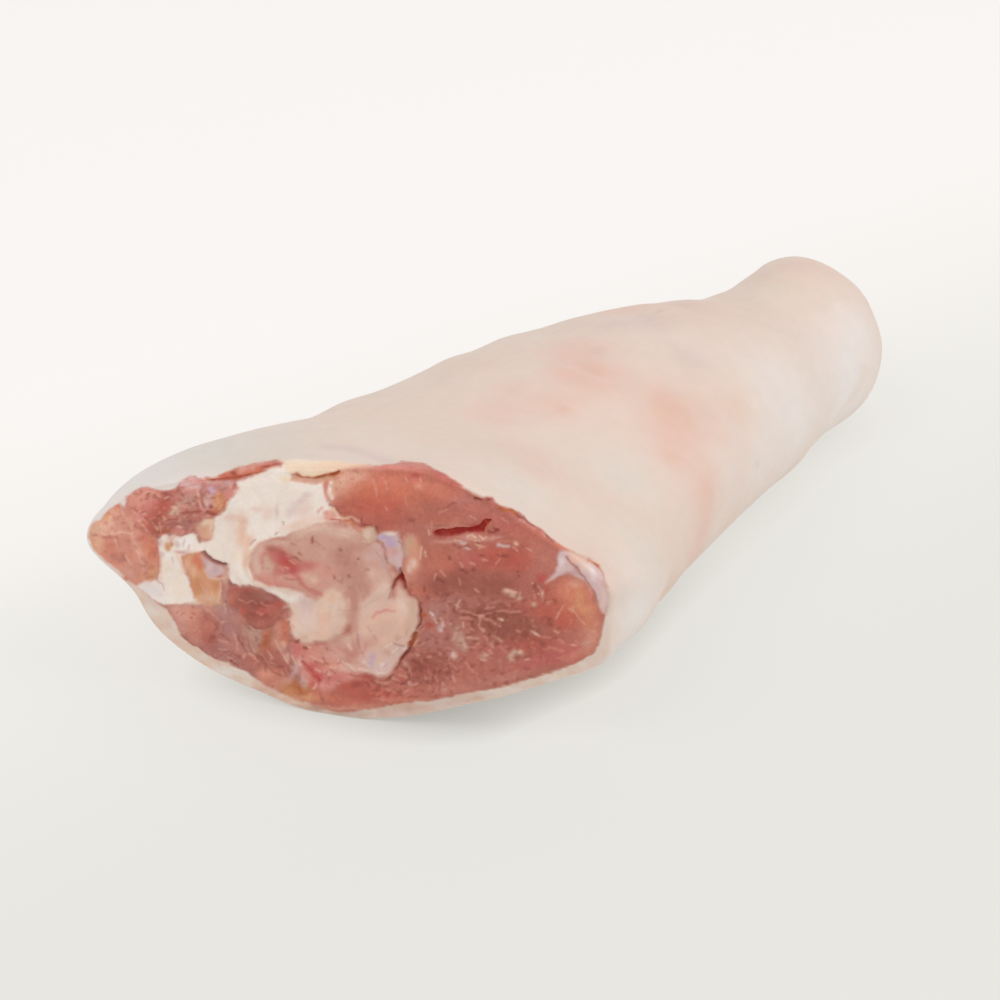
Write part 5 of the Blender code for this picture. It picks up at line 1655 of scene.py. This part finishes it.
def sawn_bone():
    """The bone from its sawn face in the knee cut to its end in the ankle cut."""
    angles = rim_angles(BONE_CELLS)
    radius, angle = disc_grid(BONE_CELLS)
    middle, across, lengthwise = cut_frame(LEG_SECTIONS[0])
    edge = bone_outline(angles)
    flat_rim = middle + edge[:, :1] * across + edge[:, 1:] * np.array([0.0, 0.0, 1.0])
    flat = cap_points(flat_rim, angles, radius, angle)
    flat -= cut_bulge((flat - middle) @ across, flat[..., 2])[..., None] * lengthwise
    face, colour, share, _inside = knee_face(flat, np.zeros(radius.shape), flat * 0 + TONES["rind"])
    face -= BONE_STEP * lengthwise
    rings = bone_rings(edge, angles)
    _end, _across, out = cut_frame(LEG_SECTIONS[-1])
    rings.append(rings[-1] + ANKLE_BONE_PROUD * out)
    end = cap_points(rings[-1], angles, radius, angle)
    end_colour, end_rise = bone_end_paint(end, radius)
    end = end + (end_rise * ease((1 - radius) / BONE_END_RIM_BAND))[..., None] * out
    points, quads, _lids = capped_tube((face, end), np.array(rings), BONE_CELLS)
    obj = new_mesh("sawn_bone", points, quads)
    obj.data.set_sharp_from_angle(angle=radians(BONE_SHARP_DEGREES))
    wall = np.zeros((len(rings) * len(angles), 3)) + TONES["bone"]
    colour = np.concatenate([colour.reshape(-1, 3), wall, end_colour.reshape(-1, 3)])
    store_paint(obj, colour, joined(share, one_tissue("bone", len(points) - radius.size)))
    return obj


def bone_end_paint(points, radius):
    """Colour and relief of the bone's end in the ankle cut: a pale shell round red marrow."""
    colour = np.zeros(points.shape) + TONES["rose"]
    colour = lay_patches(points, colour, BONE_END_PORES, BONE_END_SPREAD)
    wobbly = radius + uneven(points, BONE_END_WOBBLE)
    shell = ease((wobbly - SHELL_START) / SHELL_SOFT)
    colour = over(colour, TONES["cream"], shell)
    return colour, -MARROW_DEPTH * (1 - shell) + uneven(points, BONE_END_GRAIN)


# ---------------------------------------------------------------- materials
class Graph:
    """Short calls for a material's nodes."""

    def __init__(self, name):
        self.material = bpy.data.materials.new(name)
        self.material.use_nodes = True
        self.tree = self.material.node_tree
        self.shader = self.tree.nodes["Principled BSDF"]
        self.place = self.add("ShaderNodeTexCoord").outputs["Object"]

    def add(self, kind, settings=None, **inputs):
        """Add a node, with its settings and with values or links for its inputs."""
        node = self.tree.nodes.new(kind)
        for key, value in (settings or {}).items():
            setattr(node, key, value)
        for key, value in inputs.items():
            self.plug(node.inputs[key.replace("_", " ")], value)
        return node

    def plug(self, socket, value):
        """Set an input to a value or link it to an output."""
        if isinstance(value, bpy.types.NodeSocket):
            self.tree.links.new(value, socket)
        else:
            socket.default_value = value

    def attribute(self, name):
        """A value kept at the mesh's points."""
        node = self.add("ShaderNodeAttribute", {"attribute_name": name})
        return node.outputs["Color"] if name == "paint" else node.outputs["Fac"]

    def math(self, operation, *values):
        """A sum of one, two or three values."""
        node = self.add("ShaderNodeMath", {"operation": operation})
        for socket, value in zip(node.inputs, values):
            self.plug(socket, value)
        return node.outputs[0]

    def spread(self, value, low, high, to_low=0.0, to_high=1.0):
        """Carry a value from one range to another, smoothly and within its ends."""
        node = self.add("ShaderNodeMapRange", {"interpolation_type": "SMOOTHSTEP"},
                        Value=value, From_Min=low, From_Max=high, To_Min=to_low, To_Max=to_high)
        return node.outputs["Result"]

    def noise(self, size_mm, detail, roughness):
        """Noise with lumps of a size in mm."""
        node = self.add("ShaderNodeTexNoise", Vector=self.place, Detail=detail,
                        Roughness=roughness, Scale=1 / METRES_PER_MM / size_mm)
        return node.outputs["Fac"]

    def mix(self, share, first, second, blend="MIX"):
        """Mix two colours."""
        node = self.add("ShaderNodeMix", {"data_type": "RGBA", "blend_type": blend})
        for index, value in zip(MIX_SOCKETS, (share, first, second)):
            self.plug(node.inputs[index], value)
        return node.outputs[MIX_RESULT]

    def bump(self, height, strength, distance):
        """Bend the shading by a height, as fine relief does."""
        node = self.add("ShaderNodeBump", Strength=strength, Distance=distance, Height=height)
        self.plug(self.shader.inputs["Normal"], node.outputs["Normal"])

    def wet(self, subsurface):
        """Let light pass a little way into the tissue."""
        self.shader.inputs["Subsurface Weight"].default_value = subsurface
        self.shader.inputs["Subsurface Radius"].default_value = SUBSURFACE_RADIUS
        self.shader.inputs["Subsurface Scale"].default_value = SUBSURFACE_SCALE
        self.shader.inputs["Specular IOR Level"].default_value = SPECULAR_LEVEL


def opaque(colour):
    """A colour (sRGB) as a socket takes it."""
    return (*linear(colour), 1.0)


def tissue_colour(g, grain, fine):
    """The mesh's colour, made uneven by the grain, with pits in the bone."""
    contrast = GRAIN_BASE
    for tissue, amount in GRAIN_CONTRAST:
        contrast = g.math("MULTIPLY_ADD", g.attribute(tissue), amount, contrast)
    both = g.math("ADD", g.math("MULTIPLY", grain, COARSE_SHARE), g.math("MULTIPLY", fine, FINE_SHARE))
    value = g.math("MULTIPLY_ADD", g.math("SUBTRACT", both, 0.5), contrast, 1.0)
    paint = g.add("ShaderNodeHueSaturation", Color=g.attribute("paint"), Value=value)
    pit = g.spread(g.noise(*TISSUE_PITS), *PIT_SPREAD)
    pit = g.math("MULTIPLY", pit, g.math("MULTIPLY", g.attribute("bone"), PIT_STRENGTH))
    return g.mix(pit, paint.outputs["Color"], opaque(TONES["umber"]))


def tissue_material(name):
    """Damp tissue: its colour and shares come with the mesh, its grain from noise."""
    g = Graph(name)
    skin = g.attribute("skin")
    grain, fine = g.noise(*TISSUE_GRAIN), g.noise(*TISSUE_FINE)
    g.plug(g.shader.inputs["Base Color"], tissue_colour(g, grain, fine))
    rough = g.math("MULTIPLY_ADD", skin, SKIN_ADDS_ROUGHNESS, g.spread(grain, *TISSUE_ROUGHNESS))
    g.plug(g.shader.inputs["Roughness"], rough)
    height = g.math("MULTIPLY", g.math("ADD", grain, g.math("MULTIPLY", fine, FINE_SHARE)),
                    g.math("MULTIPLY_ADD", skin, SKIN_SMOOTHS, 1.0))
    g.bump(height, *TISSUE_BUMP)
    g.wet(TISSUE_SUBSURFACE)
    return g.material


def skin_material(name):
    """Pale rind: waxy, with faint mottling."""
    g = Graph(name)
    mottle = g.noise(*SKIN_MOTTLE)
    value = g.spread(mottle, *SKIN_VALUE)
    paint = g.add("ShaderNodeHueSaturation", Color=g.attribute("paint"), Value=value)
    g.plug(g.shader.inputs["Base Color"], paint.outputs["Color"])
    g.plug(g.shader.inputs["Roughness"], g.spread(g.noise(*SKIN_SHEEN), *SKIN_ROUGHNESS))
    pores = g.noise(*SKIN_PORES)
    g.bump(g.math("ADD", pores, g.math("MULTIPLY", mottle, SKIN_MOTTLE_RISE)), *SKIN_BUMP)
    g.wet(SKIN_SUBSURFACE)
    return g.material


# ---------------------------------------------------------------- stage
def floor_tone(g):
    """The floor's tone, paler towards the back as painted light."""
    split = g.add("ShaderNodeSeparateXYZ", Vector=g.place)
    back = g.math("ADD", g.math("MULTIPLY", split.outputs["X"], FLOOR_SLOPE[0]),
                  g.math("MULTIPLY", split.outputs["Y"], FLOOR_SLOPE[1]))
    return g.mix(g.spread(back, *FLOOR_FADE), opaque(FLOOR_NEAR), opaque(FLOOR_FAR))


def contact_shade(g):
    """The share of the floor's glow that is lost beside the hock: a painted contact shadow."""
    nearby = g.add("ShaderNodeAmbientOcclusion", {"samples": CONTACT_SAMPLES}, Distance=CONTACT_REACH)
    away = g.add("ShaderNodeVectorMath", {"operation": "DISTANCE"}, Vector=g.place)
    g.plug(away.inputs[1], CONTACT_DEEPEST)
    return g.math("MULTIPLY", g.spread(away.outputs["Value"], *CONTACT_FADE),
                  g.math("SUBTRACT", 1.0, nearby.outputs["AO"]))


def paper_material():
    """A plain floor with a faint glow of its own, as if lit from below, that pales towards the back as
    painted light.
    """
    g = Graph("paper")
    tone = floor_tone(g)
    lit = 1 - FLOOR_GLOW
    glow_tint = [(1 - lit * value) / FLOOR_GLOW for value in FLOOR_LIT_TINT]
    lit_tint = [lit * value for value in FLOOR_LIT_TINT]
    for socket, tint in (("Emission Color", glow_tint), ("Base Color", lit_tint)):
        g.plug(g.shader.inputs[socket], g.mix(1.0, tone, (*tint, 1.0), "MULTIPLY"))
    glow = g.math("MULTIPLY_ADD", contact_shade(g), -FLOOR_GLOW, FLOOR_GLOW)
    g.plug(g.shader.inputs["Emission Strength"], glow)
    g.shader.inputs["Roughness"].default_value = 1.0
    g.shader.inputs["Specular IOR Level"].default_value = 0.0
    return g.material


def add_camera():
    """The camera, placed by the photograph's numbers."""
    camera = bpy.data.cameras.new("camera")
    camera.sensor_width = SENSOR_MM
    camera.lens = SENSOR_MM * FOCAL_PIXELS / FRAME_PIXELS
    camera.shift_x = 0.5 - AXIS_PIXEL[0] / FRAME_PIXELS
    camera.shift_y = AXIS_PIXEL[1] / FRAME_PIXELS - 0.5
    camera.clip_start = NEAREST_SEEN
    eye = bpy.data.objects.new("camera", camera)
    right, up, forward = (Vector(axis) for axis in camera_axes())
    turn = Matrix((right, up, -forward)).transposed().to_4x4()
    place = (CAMERA_PLACE + np.array([*BOX_CENTRE_SHIFT, 0.0])) * METRES_PER_MM
    eye.matrix_world = Matrix.Translation(Vector(place)) @ turn
    bpy.context.scene.collection.objects.link(eye)
    bpy.context.scene.camera = eye


def add_lamp(name, place, size, energy):
    """A soft round lamp aimed at the hock."""
    lamp = bpy.data.lights.new(name, "AREA")
    lamp.shape = "DISK"
    lamp.size = size
    lamp.energy = energy
    obj = bpy.data.objects.new(name, lamp)
    obj.location = place
    obj.rotation_mode = "QUATERNION"
    obj.rotation_quaternion = (-Vector(place)).to_track_quat("-Z", "Y")
    bpy.context.scene.collection.objects.link(obj)


def build_stage():
    """Pale floor, soft studio light and the camera."""
    scene = bpy.context.scene
    scene.view_settings.view_transform = "Standard"
    bpy.ops.mesh.primitive_plane_add(size=FLOOR_SIZE, location=(0, 0, 0))
    floor = bpy.context.object
    floor.name = "floor"
    floor.data.materials.append(paper_material())
    world = bpy.data.worlds.new("studio")
    scene.world = world
    world.use_nodes = True
    sky = world.node_tree.nodes["Background"]
    sky.inputs["Color"].default_value = SKY_COLOUR
    sky.inputs["Strength"].default_value = SKY_STRENGTH
    for lamp in LAMPS:
        add_lamp(*lamp)
    add_camera()


def main():
    """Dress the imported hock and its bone."""
    meat = tissue_material("meat")
    skin = skin_material("skin")
    pieces = (
        (knee_cut(), meat, "meat", "hock"),
        (rind(), skin, "rind", "hock"),
        (ankle_cut(), meat, "meat", "hock"),
        (sawn_bone(), meat, "bone", "bone"),
    )
    for piece, material, slot, node in pieces:
        piece.data.materials.append(material)
        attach(piece, "root")
        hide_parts(node)
    build_stage()


main()
